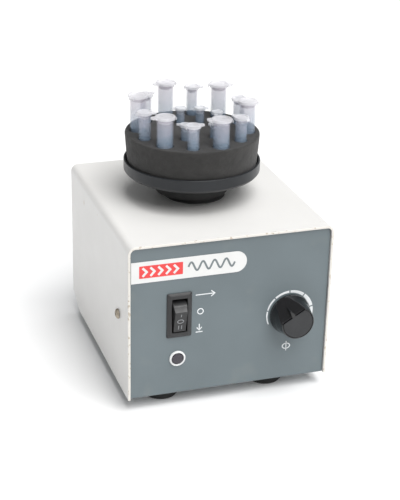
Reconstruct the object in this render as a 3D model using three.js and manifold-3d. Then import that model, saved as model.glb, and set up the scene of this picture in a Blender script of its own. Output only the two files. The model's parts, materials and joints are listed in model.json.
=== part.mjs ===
// Vortex mixer with a tube rack head, in millimetres, +Z up.
//
// A grey chassis sheet and a white sheet cover enclose a motor that hangs from a sprung plate.
// The motor turns an eccentric crank, whose pin carries the head on a bearing, so the head
// moves round a small circle without turning. A tray on the head holds a foam rack of
// micro tubes. Pressing the head down closes a switch under the motor.
//
// While it is built, the case is centred on X and Y and the feet stand on Z = 0. The finished
// group is then moved so that its origin is the middle of its bounding box, on the bench.

import * as THREE from 'three';
import { mergeVertices } from 'three/addons/utils/BufferGeometryUtils.js';
import Module from 'manifold-3d';

const wasm = await Module();
wasm.setup();

// ---------------------------------------------------------------- driving dimensions

const GAP = 0.3; // clearance between pieces that touch
const CUT = 1; // how far a cutting tool runs past the face it cuts

const CASE_WIDTH = 138;
const CASE_DEPTH = 155;
const CASE_HEIGHT = 108;
const COVER_SHEET = 1.6;
const COVER_BEND = 5; // outer radius of the cover's two long bends
const CHASSIS_SHEET = 1.2;
const PANEL_INSET = 1.5; // front and rear panels sit this far inside the cover's edges
const REAR_SLOPE_LENGTH = 20; // the lower rear edge of the case is cut away along a slope
const REAR_SLOPE_RISE = 9.3;

const FOOT_HEIGHT = 9;
const FOOT_RADIUS = 12;
const FOOT_X = [-41, 33];
const FOOT_Y = [-56, 43];

const DRIVE_X = -1;
const DRIVE_Y = 0.6;
const ORBIT_RADIUS = 2.25; // offset of the crank pin, half of the head's orbit
const ORBIT_REST_ANGLE = 145;
const PRESS_TRAVEL = 2.5;

const PLATE_Z = 70; // underside of the sprung motor plate
const PLATE_THICKNESS = 2.5;
const PLATE_RADIUS = 38;
const MOTOR_RADIUS = 25;
const MOTOR_LENGTH = 38;
const SHAFT_RADIUS = 3;
const POST_RING = 32; // radius of the circle on which the three guide posts stand
const POST_ANGLES = [90, 210, 330];
const SPRING_LENGTH = 18;
const SPRING_RADIUS = 4.2;
const SPRING_WIRE = 0.6;
const SPRING_TURNS = 4;

const TRAY_RADIUS = 46;
const TRAY_Z = 133.6; // underside of the tray
const TRAY_HEIGHT = 9.3;
const TRAY_WALL = 1.5;
const TRAY_FLOOR = 2;
const SKIRT_RADIUS = 25.5;
const SKIRT_Z = 121;
const HUB_RADIUS = 14;

const FOAM_TOP = 161.8;
const FOAM_TOP_RADIUS = 45.6;
const OUTER_RING = 36.3;
const OUTER_PHASE = -137;
const INNER_RING = 19;
const INNER_ANGLES = [-122, -58, 12, 57, 98];

const PLATE_LEFT = -66.8; // the name plate on the front panel
const PLATE_RIGHT = 9.8;
const PLATE_LOW = 91.7;
const PLATE_HIGH = 106.2;

const KNOB_X = 41.1;
const KNOB_Z = 57;
const KNOB_RADIUS = 14;
const KNOB_CAP_RADIUS = 11;
const KNOB_HEIGHT = 16;
const KNOB_REST_ANGLE = 121; // direction of the pointer, counter-clockwise from +X
const KNOB_CHORD = 5.6; // the knob's slope starts this far from its axis, on the pointer's side
const KNOB_SLOPE_DROP = 9;

const ROCKER_X = -35;
const ROCKER_Z = 66.2;
const ROCKER_TILT = 14; // either way from level; it stands with its lower end pressed
const ROCKER_PIVOT_DEPTH = 10;
const BEZEL_WIDTH = 16.6;
const BEZEL_HEIGHT = 31.2;
const BEZEL_PROUD = 2;

const LAMP_X = -35.8;
const LAMP_Z = 35;
const LAMP_RADIUS = 5.4;
const LAMP_LENS_RADIUS = 4;

const INLET_X = 34;
const INLET_Z = 34;
const INLET_WIDTH = 27;
const INLET_HEIGHT = 20;
const INLET_DEPTH = 15;
const FUSE_X = -2;
const FUSE_Z = 34;

const STEM_RADIUS = 3; // feet
const TRAY_SCREW_RADIUS = 2.5;
const BUTTON_RADIUS = 1.8; // touch switch

// ---------------------------------------------------------------- places that follow

const CASE_TOP = FOOT_HEIGHT + CASE_HEIGHT;
const FRONT_EDGE = -CASE_DEPTH / 2;
const REAR_EDGE = CASE_DEPTH / 2;
const PANEL_Y = FRONT_EDGE + PANEL_INSET; // outer face of the front panel
const REAR_PANEL_Y = REAR_EDGE - PANEL_INSET; // outer face of the rear panel
const CHASSIS_HALF = CASE_WIDTH / 2 - COVER_SHEET - GAP;
const CHASSIS_TOP = CASE_TOP - COVER_SHEET - GAP;
const FLOOR_TOP = FOOT_HEIGHT + CHASSIS_SHEET;
const COVER_HOLE_RADIUS = HUB_RADIUS + ORBIT_RADIUS + 1.25;
const SIDE_SCREW_Y = -54;
const SIDE_SCREW_Z = 61.2;
const radians = THREE.MathUtils.degToRad;
const HEAD_X = DRIVE_X + ORBIT_RADIUS * Math.cos(radians(ORBIT_REST_ANGLE));
const HEAD_Y = DRIVE_Y + ORBIT_RADIUS * Math.sin(radians(ORBIT_REST_ANGLE));
const PLATE_TOP = PLATE_Z + PLATE_THICKNESS;
const CRANK_Z = PLATE_TOP + 3.5;
const CRANK_THICKNESS = 8;
const PIN_TOP = CRANK_Z + CRANK_THICKNESS + 13;
const TRAY_FLOOR_TOP = TRAY_Z + TRAY_FLOOR;

// ---------------------------------------------------------------- solids

function solid(geometry) {
  const bare = geometry.clone();
  bare.deleteAttribute('normal');
  bare.deleteAttribute('uv');
  const merged = mergeVertices(bare, 1e-4);
  const points = merged.attributes.position;
  const kept = [];
  let volume = 0;
  const [a, b, c] = [new THREE.Vector3(), new THREE.Vector3(), new THREE.Vector3()];
  for (let i = 0; i < merged.index.count; i += 3) {
    const corners = [0, 1, 2].map((k) => merged.index.getX(i + k));
    if (new Set(corners).size < 3) continue; // a sliver on the axis of a turned shape
    kept.push(...corners);
    a.fromBufferAttribute(points, corners[0]);
    b.fromBufferAttribute(points, corners[1]);
    c.fromBufferAttribute(points, corners[2]);
    volume += a.dot(b.cross(c));
  }
  if (volume < 0) kept.reverse();
  return new wasm.Manifold(new wasm.Mesh({
    numProp: 3,
    vertProperties: new Float32Array(points.array),
    triVerts: new Uint32Array(kept),
  }));
}

function toGeometry(manifold) {
  const mesh = manifold.getMesh();
  const geometry = new THREE.BufferGeometry();
  geometry.setAttribute('position', new THREE.BufferAttribute(mesh.vertProperties, 3));
  geometry.setIndex(new THREE.BufferAttribute(mesh.triVerts, 1));
  const flat = geometry.toNonIndexed();
  flat.computeVertexNormals();
  return flat;
}

const join = (...parts) => parts.reduce((sum, part) => sum.add(part));
const cut = (body, ...tools) => tools.reduce((rest, tool) => rest.subtract(tool), body);

function box(x0, x1, y0, y1, z0, z1) {
  const geometry = new THREE.BoxGeometry(x1 - x0, y1 - y0, z1 - z0);
  return solid(geometry.translate((x0 + x1) / 2, (y0 + y1) / 2, (z0 + z1) / 2));
}

// A solid turned about Z from [radius, z] points.
function turned(profile, segments = 24) {
  const points = profile.map(([radius, z]) => new THREE.Vector2(radius, z));
  return solid(new THREE.LatheGeometry(points, segments).rotateX(Math.PI / 2));
}

function rod(radius, z0, z1, segments = 24) {
  return turned([[0, z0], [radius, z0], [radius, z1], [0, z1]], segments);
}

function ring(inner, outer, z0, z1, segments = 24) {
  return turned([[inner, z0], [outer, z0], [outer, z1], [inner, z1], [inner, z0]], segments);
}

// A flat outline in X and Y, given a thickness along Z.
function slab(shape, z0, z1, curveSegments = 8) {
  const geometry = new THREE.ExtrudeGeometry(shape, {
    depth: z1 - z0, bevelEnabled: false, curveSegments,
  });
  return solid(geometry.translate(0, 0, z0));
}

function roundedRectangle(x0, x1, y0, y1, radius) {
  const shape = new THREE.Shape();
  const quarter = Math.PI / 2;
  shape.absarc(x1 - radius, y0 + radius, radius, -quarter, 0, false);
  shape.absarc(x1 - radius, y1 - radius, radius, 0, quarter, false);
  shape.absarc(x0 + radius, y1 - radius, radius, quarter, 2 * quarter, false);
  shape.absarc(x0 + radius, y0 + radius, radius, 2 * quarter, 3 * quarter, false);
  return shape;
}

// Turns a solid that was built along +Z so that it points out of the front panel.
const facingFront = (part) => part.rotate([90, 0, 0]);
const facingRear = (part) => part.rotate([-90, 0, 0]);

// ---------------------------------------------------------------- materials

function material(color, roughness, metalness = 0) {
  return new THREE.MeshStandardMaterial({ color, roughness, metalness });
}

const WHITE_PAINT = material('#f2f2f0', 0.5);
const GREY_PAINT = material('#7c898e', 0.5);
const BLACK_RUBBER = material('#2b2b2b', 0.85);
const BLACK_PLASTIC = material('#242426', 0.35);
const KNOB_GREY = material('#4a4b4d', 0.5);
const TRAY_PLASTIC = material('#3b3d40', 0.35);
const FOAM = material('#3c3b39', 0.95);
const WHITE_PRINT = material('#ebebe9', 0.45);
const WHITE_PLASTIC = material('#ececea', 0.4);
const LAMP_PLASTIC = material('#53535b', 0.3);
const STEEL = material('#a9abad', 0.35, 0.9);
const SPRING_STEEL = material('#8f9194', 0.3, 0.95);
const ALUMINIUM = material('#b9bcbf', 0.4, 0.9);
const MOTOR_STEEL = material('#5d6166', 0.45, 0.8);
const BOARD_GREEN = material('#2f6b45', 0.5);
const TUBE_PLASTIC = material('#c3cbd4', 0.35);

// ---------------------------------------------------------------- scene

const mixer = new THREE.Group();

function place(name, part, surface, x = 0, y = 0, z = 0) {
  const mesh = new THREE.Mesh(toGeometry(part), surface);
  mesh.name = name;
  mesh.position.set(x, y, z);
  mixer.add(mesh);
}

// ---------------------------------------------------------------- case

const SCREW_HOLE_RADIUS = 2.3;
const SCREW_SHANK_RADIUS = 1.5;

// A hole or rod that runs along X between two planes.
function rodAlongX(radius, x0, x1, y, z, segments = 16) {
  return rod(radius, x0, x1, segments).rotate([0, 90, 0]).translate([0, y, z]);
}

function topCover() {
  const half = CASE_WIDTH / 2;
  const inner = half - COVER_SHEET;
  const innerTop = CASE_TOP - COVER_SHEET;
  const innerBend = COVER_BEND - COVER_SHEET;
  const profile = new THREE.Shape();
  profile.moveTo(-inner, FOOT_HEIGHT);
  profile.lineTo(-half, FOOT_HEIGHT);
  profile.absarc(-half + COVER_BEND, CASE_TOP - COVER_BEND, COVER_BEND, Math.PI, Math.PI / 2, true);
  profile.absarc(half - COVER_BEND, CASE_TOP - COVER_BEND, COVER_BEND, Math.PI / 2, 0, true);
  profile.lineTo(half, FOOT_HEIGHT);
  profile.lineTo(inner, FOOT_HEIGHT);
  profile.absarc(inner - innerBend, innerTop - innerBend, innerBend, 0, Math.PI / 2, false);
  profile.absarc(-inner + innerBend, innerTop - innerBend, innerBend, Math.PI / 2, Math.PI, false);
  const sheet = slab(profile, FRONT_EDGE, REAR_EDGE, 6).rotate([90, 0, 0]);
  const lip = box(-inner + innerBend, inner - innerBend,
    REAR_EDGE - COVER_SHEET, REAR_EDGE, CASE_TOP - 4, innerTop + 0.5);
  const shaftHole = rod(COVER_HOLE_RADIUS, innerTop - CUT, CASE_TOP + CUT, 32)
    .translate([DRIVE_X, DRIVE_Y, 0]);
  const screwHoles = rodAlongX(SCREW_HOLE_RADIUS, -half - CUT, half + CUT, SIDE_SCREW_Y, SIDE_SCREW_Z);
  return cut(join(sheet, lip), shaftHole, screwHoles, rearCornerCut());
}

// The prism that is taken off the cover's lower rear corners.
function rearCornerCut() {
  const corner = new THREE.Shape();
  corner.moveTo(REAR_EDGE - REAR_SLOPE_LENGTH, FOOT_HEIGHT);
  corner.lineTo(REAR_EDGE, FOOT_HEIGHT + REAR_SLOPE_RISE);
  corner.lineTo(REAR_EDGE + CUT, FOOT_HEIGHT + REAR_SLOPE_RISE);
  corner.lineTo(REAR_EDGE + CUT, FOOT_HEIGHT - CUT);
  corner.lineTo(REAR_EDGE - REAR_SLOPE_LENGTH, FOOT_HEIGHT - CUT);
  const half = CASE_WIDTH / 2 + CUT;
  return acrossWidth(corner, -half, half);
}

// A solid whose outline is given in Y and Z, between two X planes.
function acrossWidth(shape, x0, x1) {
  return slab(shape, x0, x1).rotate([90, 0, 90]);
}

const BEZEL_LAP = 1.5; // how far the switch's bezel laps over its hole
const LAMP_HOLE_RADIUS = 5.1;
const POT_HOLE_RADIUS = 4.5;
const FUSE_HOLE_RADIUS = 6.6;

// The chassis is one sheet bent into the front panel, floor, rear slope and rear panel.
function chassis() {
  const half = CHASSIS_HALF;
  const rearOuter = REAR_PANEL_Y - GAP;
  const slopeStart = rearOuter - REAR_SLOPE_LENGTH + GAP;
  const slopeTop = FOOT_HEIGHT + REAR_SLOPE_RISE;
  const sheet = CHASSIS_SHEET;
  const bend = new THREE.Shape();
  bend.moveTo(PANEL_Y, CHASSIS_TOP);
  bend.lineTo(PANEL_Y, FOOT_HEIGHT);
  bend.lineTo(slopeStart, FOOT_HEIGHT);
  bend.lineTo(rearOuter, slopeTop);
  bend.lineTo(rearOuter, CHASSIS_TOP);
  bend.lineTo(rearOuter - sheet, CHASSIS_TOP);
  bend.lineTo(rearOuter - sheet, slopeTop + sheet / 2);
  bend.lineTo(slopeStart - sheet / 4, FLOOR_TOP);
  bend.lineTo(PANEL_Y + sheet, FLOOR_TOP);
  bend.lineTo(PANEL_Y + sheet, CHASSIS_TOP);
  const shell = acrossWidth(bend, -half, half).intersect(chassisOutline());
  const tabs = [-half, half - sheet].map((x) => box(x, x + sheet,
    PANEL_Y, SIDE_SCREW_Y + 8, SIDE_SCREW_Z - 10, SIDE_SCREW_Z + 10));
  return cut(join(shell, ...tabs), ...panelHoles(), ...rearHoles(), ...stemHoles());
}

// The space inside the cover, seen from the front: its top corners are round.
function chassisOutline() {
  const radius = COVER_BEND - COVER_SHEET;
  const shape = new THREE.Shape();
  shape.moveTo(-CHASSIS_HALF, FOOT_HEIGHT - CUT);
  shape.lineTo(CHASSIS_HALF, FOOT_HEIGHT - CUT);
  shape.absarc(CHASSIS_HALF - radius, CHASSIS_TOP - radius, radius, 0, Math.PI / 2, false);
  shape.absarc(radius - CHASSIS_HALF, CHASSIS_TOP - radius, radius, Math.PI / 2, Math.PI, false);
  return facingFront(slab(shape, -REAR_EDGE, REAR_EDGE, 5));
}

function panelHoles() {
  const through = (part) => facingFront(part).translate([0, PANEL_Y, 0]);
  const clear = BEZEL_PROUD + CUT;
  return [
    box(ROCKER_X - BEZEL_WIDTH / 2 + BEZEL_LAP, ROCKER_X + BEZEL_WIDTH / 2 - BEZEL_LAP,
      PANEL_Y - clear, PANEL_Y + clear,
      ROCKER_Z - BEZEL_HEIGHT / 2 + BEZEL_LAP, ROCKER_Z + BEZEL_HEIGHT / 2 - BEZEL_LAP),
    through(rod(LAMP_HOLE_RADIUS, -clear, clear, 16)).translate([LAMP_X, 0, LAMP_Z]),
    through(rod(POT_HOLE_RADIUS, -clear, clear, 16)).translate([KNOB_X, 0, KNOB_Z]),
    rodAlongX(SCREW_SHANK_RADIUS + GAP, -CHASSIS_HALF - CUT, CHASSIS_HALF + CUT,
      SIDE_SCREW_Y, SIDE_SCREW_Z),
  ];
}

function rearHoles() {
  const [y0, y1] = [REAR_PANEL_Y - CHASSIS_SHEET - CUT, REAR_PANEL_Y + CUT];
  const halfWidth = INLET_WIDTH / 2 + GAP;
  const halfHeight = INLET_HEIGHT / 2 + GAP;
  const fuse = facingRear(rod(FUSE_HOLE_RADIUS, y0, y1, 16)).translate([FUSE_X, 0, FUSE_Z]);
  const vents = [];
  for (let row = 0; row < 5; row += 1) {
    const z = 70 + row * 7;
    vents.push(box(-25, 25, y0, y1, z, z + 2.5));
  }
  return [
    box(INLET_X - halfWidth, INLET_X + halfWidth, y0, y1, INLET_Z - halfHeight, INLET_Z + halfHeight),
    fuse,
    ...vents,
  ];
}

function stemHoles() {
  const holes = [];
  for (const x of FOOT_X) {
    for (const y of FOOT_Y) {
      holes.push(rod(STEM_RADIUS + GAP, FOOT_HEIGHT - CUT, FLOOR_TOP + CUT, 12).translate([x, y, 0]));
    }
  }
  return holes;
}

// A round rubber foot with a stem that snaps into the chassis floor.
function foot() {
  const top = FOOT_HEIGHT - GAP;
  return turned([
    [0, 0], [FOOT_RADIUS - 1.5, 0], [FOOT_RADIUS, 1.5], [FOOT_RADIUS, top],
    [STEM_RADIUS, top], [STEM_RADIUS, FLOOR_TOP + GAP], [STEM_RADIUS + 1.2, FLOOR_TOP + 1.2],
    [STEM_RADIUS - 1, FLOOR_TOP + 4], [0, FLOOR_TOP + 4],
  ], 16);
}

// A pan-head screw through a side wall, with a cross recess. It points along +X.
function coverScrew() {
  const headRadius = 3.4;
  const headHeight = 1.8;
  const length = 8;
  const body = turned([
    [0, -headHeight], [headRadius * 0.55, -headHeight], [headRadius * 0.9, -headHeight * 0.6],
    [headRadius, 0], [SCREW_SHANK_RADIUS, 0], [SCREW_SHANK_RADIUS, length], [0, length],
  ], 12);
  const arm = 1.8;
  const slot = 0.45;
  const depth = 1.1 - headHeight;
  const recess = join(
    box(-arm, arm, -slot, slot, -headHeight - CUT, depth),
    box(-slot, slot, -arm, arm, -headHeight - CUT, depth),
  );
  return cut(body, recess).rotate([0, 90, 0]);
}

function buildCase() {
  place('top_cover', topCover(), WHITE_PAINT);
  place('chassis', chassis(), GREY_PAINT);
  const outside = CASE_WIDTH / 2 + GAP;
  place('cover_screw_left', coverScrew(), STEEL, -outside, SIDE_SCREW_Y, SIDE_SCREW_Z);
  place('cover_screw_right', coverScrew().rotate([0, 0, 180]), STEEL,
    outside, SIDE_SCREW_Y, SIDE_SCREW_Z);
  const sides = [['left', FOOT_X[0]], ['right', FOOT_X[1]]];
  for (const [side, x] of sides) {
    place(`foot_front_${side}`, foot(), BLACK_RUBBER, x, FOOT_Y[0]);
    place(`foot_rear_${side}`, foot(), BLACK_RUBBER, x, FOOT_Y[1]);
  }
}

// ---------------------------------------------------------------- front panel fittings

// The white name plate: square at its left end, round at its right end.
function namePlate() {
  const radius = (PLATE_HIGH - PLATE_LOW) / 2;
  const shape = new THREE.Shape();
  shape.moveTo(PLATE_LEFT, PLATE_HIGH);
  shape.lineTo(PLATE_LEFT, PLATE_LOW);
  shape.absarc(PLATE_RIGHT - radius, PLATE_LOW + radius, radius, -Math.PI / 2, Math.PI / 2, false);
  return facingFront(slab(shape, 0.1, 0.4, 9)).translate([0, PANEL_Y, 0]);
}

const WELL_HALF_WIDTH = 5.1; // the opening in the switch's bezel
const WELL_HALF_HEIGHT = 11.85;
const CAVITY_HALF_HEIGHT = 13.3; // the switch's housing is roomier behind the bezel
const HOUSING_DEPTH = 24;

// Bezel and housing of the three-position switch, with the well in which the rocker tilts.
function switchBody() {
  const halfWidth = BEZEL_WIDTH / 2;
  const halfHeight = BEZEL_HEIGHT / 2;
  const slope = 0.9;
  const flange = new THREE.ExtrudeGeometry(
    roundedRectangle(slope - halfWidth, halfWidth - slope, slope - halfHeight, halfHeight - slope, 0.6),
    {
      depth: 0.6, bevelEnabled: true, bevelThickness: 0.7, bevelSize: slope, bevelSegments: 1,
      curveSegments: 3,
    },
  );
  const bezel = solid(flange.translate(0, 0, GAP + 0.6));
  const shellWidth = halfWidth - BEZEL_LAP - GAP;
  const shellHeight = halfHeight - BEZEL_LAP - GAP;
  const housing = box(-shellWidth, shellWidth, -shellHeight, shellHeight, -HOUSING_DEPTH, 1.2);
  const well = box(-WELL_HALF_WIDTH, WELL_HALF_WIDTH, -WELL_HALF_HEIGHT, WELL_HALF_HEIGHT,
    -CUT, BEZEL_PROUD + CUT);
  const cavity = box(-WELL_HALF_WIDTH, WELL_HALF_WIDTH, -CAVITY_HALF_HEIGHT, CAVITY_HALF_HEIGHT,
    -HOUSING_DEPTH / 2, -0.5);
  const terminals = [-8, 0, 8].map((height) => box(-2.4, 2.4, height - 0.4, height + 0.4,
    -HOUSING_DEPTH - 8, -HOUSING_DEPTH + 0.5));
  return facingFront(join(cut(join(bezel, housing), well, cavity), ...terminals));
}

// The rocker turns about an axis behind the panel. Its two end walls follow arcs round that
// axis, so that the gap to the bezel stays narrow. Its sides lean in towards the face.
function switchRocker() {
  const reach = 14.4; // from the axis to the face
  const faceHalf = 7.8;
  const endRadius = 14.9;
  const endStart = radians(35);
  const endStop = radians(47);
  const shape = new THREE.Shape(); // distance behind the axis, then height
  shape.moveTo(-reach, -faceHalf);
  shape.absarc(0, 0, endRadius, Math.PI + endStart, Math.PI + endStop, false);
  shape.lineTo(-4, -11.5);
  shape.lineTo(-2.5, -6);
  shape.lineTo(-2.5, 6);
  shape.lineTo(-4, 11.5);
  shape.absarc(0, 0, endRadius, Math.PI - endStop, Math.PI - endStart, false);
  shape.lineTo(-reach, faceHalf);
  const halfWidth = WELL_HALF_WIDTH - GAP;
  const sides = new THREE.Shape();
  sides.moveTo(-halfWidth, 0);
  sides.lineTo(halfWidth, 0);
  sides.lineTo(halfWidth, ROCKER_PIVOT_DEPTH);
  sides.lineTo(halfWidth - 0.8, reach + CUT);
  sides.lineTo(0.8 - halfWidth, reach + CUT);
  sides.lineTo(-halfWidth, ROCKER_PIVOT_DEPTH);
  const draft = slab(sides, -BEZEL_HEIGHT / 2, BEZEL_HEIGHT / 2).rotate([180, 0, 0]);
  return acrossWidth(shape, -halfWidth, halfWidth)
    .intersect(draft)
    .rotate([ROCKER_TILT, 0, 0])
    .translate([0, ROCKER_PIVOT_DEPTH, 0]);
}

function lampBezel() {
  const bore = LAMP_LENS_RADIUS + 0.2;
  const barrel = LAMP_HOLE_RADIUS - GAP;
  return facingFront(turned([
    [bore, -10], [barrel, -10], [barrel, 0.1], [LAMP_RADIUS, 0.1], [LAMP_RADIUS, 0.9],
    [LAMP_RADIUS - 0.5, 1.3], [bore, 1.3], [bore, -10],
  ], 20));
}

function lampLens() {
  return facingFront(turned([
    [0, -14], [3, -14], [LAMP_LENS_RADIUS, -10.5], [LAMP_LENS_RADIUS, 0.8],
    [LAMP_LENS_RADIUS - 0.8, 1.2], [0, 1.3],
  ], 20));
}

// Round pieces of the speed control share one axis; heights are measured out from the panel.
const POT_SHAFT_TOP = 12;

function speedPot() {
  return facingFront(turned([
    [0, -12], [8.5, -12], [8.5, -1.5], [POT_HOLE_RADIUS - GAP, -1.5], [POT_HOLE_RADIUS - GAP, 4.4],
    [SHAFT_RADIUS + GAP, 4.4], [SHAFT_RADIUS + GAP, -8.3], [0, -8.3],
  ], 16));
}

function potNut() {
  const hexagon = rod(6.8, GAP, 2.5, 6);
  return facingFront(cut(hexagon, rod(POT_HOLE_RADIUS, 0, 3, 16)));
}

function potShaft() {
  return facingFront(rod(SHAFT_RADIUS, -8, POT_SHAFT_TOP, 16));
}

// The space above the knob's slope: it starts at a chord of the face and falls to the skirt.
function aboveSlope() {
  const steepness = KNOB_SLOPE_DROP / (KNOB_CAP_RADIUS - KNOB_CHORD);
  const foot = KNOB_HEIGHT - steepness * (KNOB_RADIUS - KNOB_CHORD);
  const outline = new THREE.Shape(); // distance from the axis, then height
  outline.moveTo(KNOB_CHORD - CUT, KNOB_HEIGHT + steepness * CUT);
  outline.lineTo(KNOB_RADIUS, foot);
  outline.lineTo(KNOB_RADIUS + CUT, foot);
  outline.lineTo(KNOB_RADIUS + CUT, KNOB_HEIGHT + steepness * CUT);
  return slab(outline, -KNOB_RADIUS, KNOB_RADIUS).rotate([90, 0, 0]);
}

// The knob is hollow underneath, where it covers the nut and the threaded bush. A rib on its
// slope is the pointer.
function knob() {
  const base = 0.6;
  const bore = SHAFT_RADIUS + GAP;
  const skirtTop = 2.6;
  const rim = KNOB_HEIGHT - 0.3;
  const seat = KNOB_HEIGHT - 1.3;
  const ribHalf = 0.6;
  const body = turned([
    [8, base], [KNOB_RADIUS, base], [KNOB_RADIUS, skirtTop], [KNOB_CAP_RADIUS + 1.7, 6.5],
    [KNOB_CAP_RADIUS, rim], [KNOB_CAP_RADIUS - 0.7, rim], [KNOB_CAP_RADIUS - 0.7, seat], [0, seat],
    [0, POT_SHAFT_TOP + GAP], [bore, POT_SHAFT_TOP + GAP], [bore, 5], [8, 5], [8, base],
  ], 24);
  const rib = box(KNOB_CHORD + GAP, KNOB_CAP_RADIUS - 0.2, -ribHalf, ribHalf,
    rim - KNOB_SLOPE_DROP, rim);
  return facingFront(join(cut(body, aboveSlope()), rib).rotate([0, 0, KNOB_REST_ANGLE]));
}

// The knob's grey face ends at the chord where the slope starts.
function knobCap() {
  const seat = KNOB_HEIGHT - 1;
  const disc = rod(KNOB_CAP_RADIUS - 1, seat, KNOB_HEIGHT - 0.2, 24);
  const beyondChord = box(KNOB_CHORD - GAP, KNOB_CAP_RADIUS, -KNOB_CAP_RADIUS, KNOB_CAP_RADIUS,
    seat - CUT, KNOB_HEIGHT);
  return facingFront(cut(disc, beyondChord).rotate([0, 0, KNOB_REST_ANGLE]));
}

// The board is held by the potentiometer's legs and carries the triac's cooler and a capacitor.
function speedBoard() {
  const y0 = 12.3;
  const y1 = y0 + 1.6;
  const board = box(-21, 19, y0, y1, -24, 34);
  const legs = [-5, 0, 5].map((x) => box(x - 0.5, x + 0.5, y0 - 4, y0 + 0.1, -11, -9.2));
  const cooler = box(-18, 2, y1 - 0.1, y1 + 3, 12, 30);
  const fins = [-18, -12, -6, 0].map((x) => box(x, x + 2, y1 + 2, y1 + 14, 12, 30));
  const capacitor = facingRear(rod(6, y1 - 0.1, y1 + 16, 14)).translate([10, 0, -12]);
  return join(board, cooler, capacitor, ...legs, ...fins);
}

function buildFrontPanel() {
  place('name_plate', namePlate(), WHITE_PRINT);
  place('switch_body', switchBody(), BLACK_PLASTIC, ROCKER_X, PANEL_Y, ROCKER_Z);
  place('switch_rocker', switchRocker(), BLACK_PLASTIC, ROCKER_X, PANEL_Y, ROCKER_Z);
  place('lamp_bezel', lampBezel(), WHITE_PLASTIC, LAMP_X, PANEL_Y, LAMP_Z);
  place('lamp_lens', lampLens(), LAMP_PLASTIC, LAMP_X, PANEL_Y, LAMP_Z);
  place('speed_pot', speedPot(), ALUMINIUM, KNOB_X, PANEL_Y, KNOB_Z);
  place('pot_nut', potNut(), STEEL, KNOB_X, PANEL_Y, KNOB_Z);
  place('pot_shaft', potShaft(), ALUMINIUM, KNOB_X, PANEL_Y, KNOB_Z);
  place('knob', knob(), BLACK_PLASTIC, KNOB_X, PANEL_Y, KNOB_Z);
  place('knob_cap', knobCap(), KNOB_GREY, KNOB_X, PANEL_Y, KNOB_Z);
  place('speed_board', speedBoard(), BOARD_GREEN, KNOB_X, PANEL_Y, KNOB_Z);
}

// ---------------------------------------------------------------- rear panel fittings

// A three-pin mains inlet. Heights are measured out from the rear panel, pins point outward.
function inletSocket() {
  const halfWidth = INLET_WIDTH / 2;
  const halfHeight = INLET_HEIGHT / 2;
  const wall = 1.8;
  const flange = slab(roundedRectangle(-halfWidth - 3, halfWidth + 3, -halfHeight - 2, halfHeight + 2, 2),
    GAP, GAP + 2, 4);
  const shroud = box(-halfWidth, halfWidth, -halfHeight, halfHeight, -INLET_DEPTH - 3, GAP + 0.1);
  const cavity = box(-halfWidth + wall, halfWidth - wall, -halfHeight + wall, halfHeight - wall,
    -INLET_DEPTH, GAP + 2 + CUT);
  const pin = (x, y) => box(x - 1, x + 1, y - 2, y + 2, -INLET_DEPTH - CUT, -2);
  const pins = [pin(-7, 2), pin(7, 2), pin(0, -2.5)];
  return facingRear(join(cut(join(flange, shroud), cavity), ...pins));
}

const FUSE_BORE_RADIUS = 4.6;

function fuseHolder() {
  const barrel = FUSE_HOLE_RADIUS - GAP;
  return facingRear(turned([
    [0, -32], [barrel, -32], [barrel, GAP], [8.5, GAP], [8.5, 1.6], [8, 2.1],
    [FUSE_BORE_RADIUS, 2.1], [FUSE_BORE_RADIUS, -27], [0, -27],
  ], 16));
}

function fuseCap() {
  const cap = turned([
    [0, -20], [FUSE_BORE_RADIUS - GAP, -20], [FUSE_BORE_RADIUS - GAP, 2.4], [7, 2.4],
    [7, 6], [6.4, 6.8], [0, 6.8],
  ], 16);
  const slot = box(-4.5, 4.5, -0.6, 0.6, 5.6, 8);
  return facingRear(cut(cap, slot));
}

function buildRearPanel() {
  place('inlet_socket', inletSocket(), BLACK_PLASTIC, INLET_X, REAR_PANEL_Y, INLET_Z);
  place('fuse_holder', fuseHolder(), BLACK_PLASTIC, FUSE_X, REAR_PANEL_Y, FUSE_Z);
  place('fuse_cap', fuseCap(), BLACK_PLASTIC, FUSE_X, REAR_PANEL_Y, FUSE_Z);
}

// ---------------------------------------------------------------- sprung motor

const POST_PIN_RADIUS = 2;
const MOTOR_TOP = PLATE_Z - GAP;
const MOTOR_BOTTOM = MOTOR_TOP - MOTOR_LENGTH;
const SPRING_TOP = PLATE_Z - GAP;
const SPRING_BOTTOM = SPRING_TOP - SPRING_LENGTH;
const SWITCH_TOP = 18.7;
const BUTTON_TOP = SWITCH_TOP + PRESS_TRAVEL + GAP;
const STRIKER_TIP = BUTTON_TOP + GAP;
const END_CAP_BOTTOM = MOTOR_BOTTOM - 4.7;

const postPlaces = POST_ANGLES.map((angle) => [
  DRIVE_X + POST_RING * Math.cos(radians(angle)),
  DRIVE_Y + POST_RING * Math.sin(radians(angle)),
]);

function motorPlate() {
  const holes = POST_ANGLES.map((angle) => rod(POST_PIN_RADIUS + 0.5, PLATE_Z - CUT, PLATE_TOP + CUT, 12)
    .translate([POST_RING * Math.cos(radians(angle)), POST_RING * Math.sin(radians(angle)), 0]));
  return cut(ring(SHAFT_RADIUS + 0.6, PLATE_RADIUS, PLATE_Z, PLATE_TOP, 28), ...holes);
}

// A post stands on the chassis floor. Its shoulder carries the spring, its pin guides the
// plate and its head stops the plate at the top.
function guidePost() {
  const shoulder = SPRING_BOTTOM - GAP;
  const head = PLATE_TOP + GAP;
  return turned([
    [0, FLOOR_TOP + GAP], [6, FLOOR_TOP + GAP], [6, FLOOR_TOP + 3], [SPRING_RADIUS + 0.6, FLOOR_TOP + 4],
    [SPRING_RADIUS + 0.6, shoulder], [POST_PIN_RADIUS, shoulder], [POST_PIN_RADIUS, head],
    [3.6, head], [3.6, head + 2], [0, head + 2],
  ], 12);
}

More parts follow.
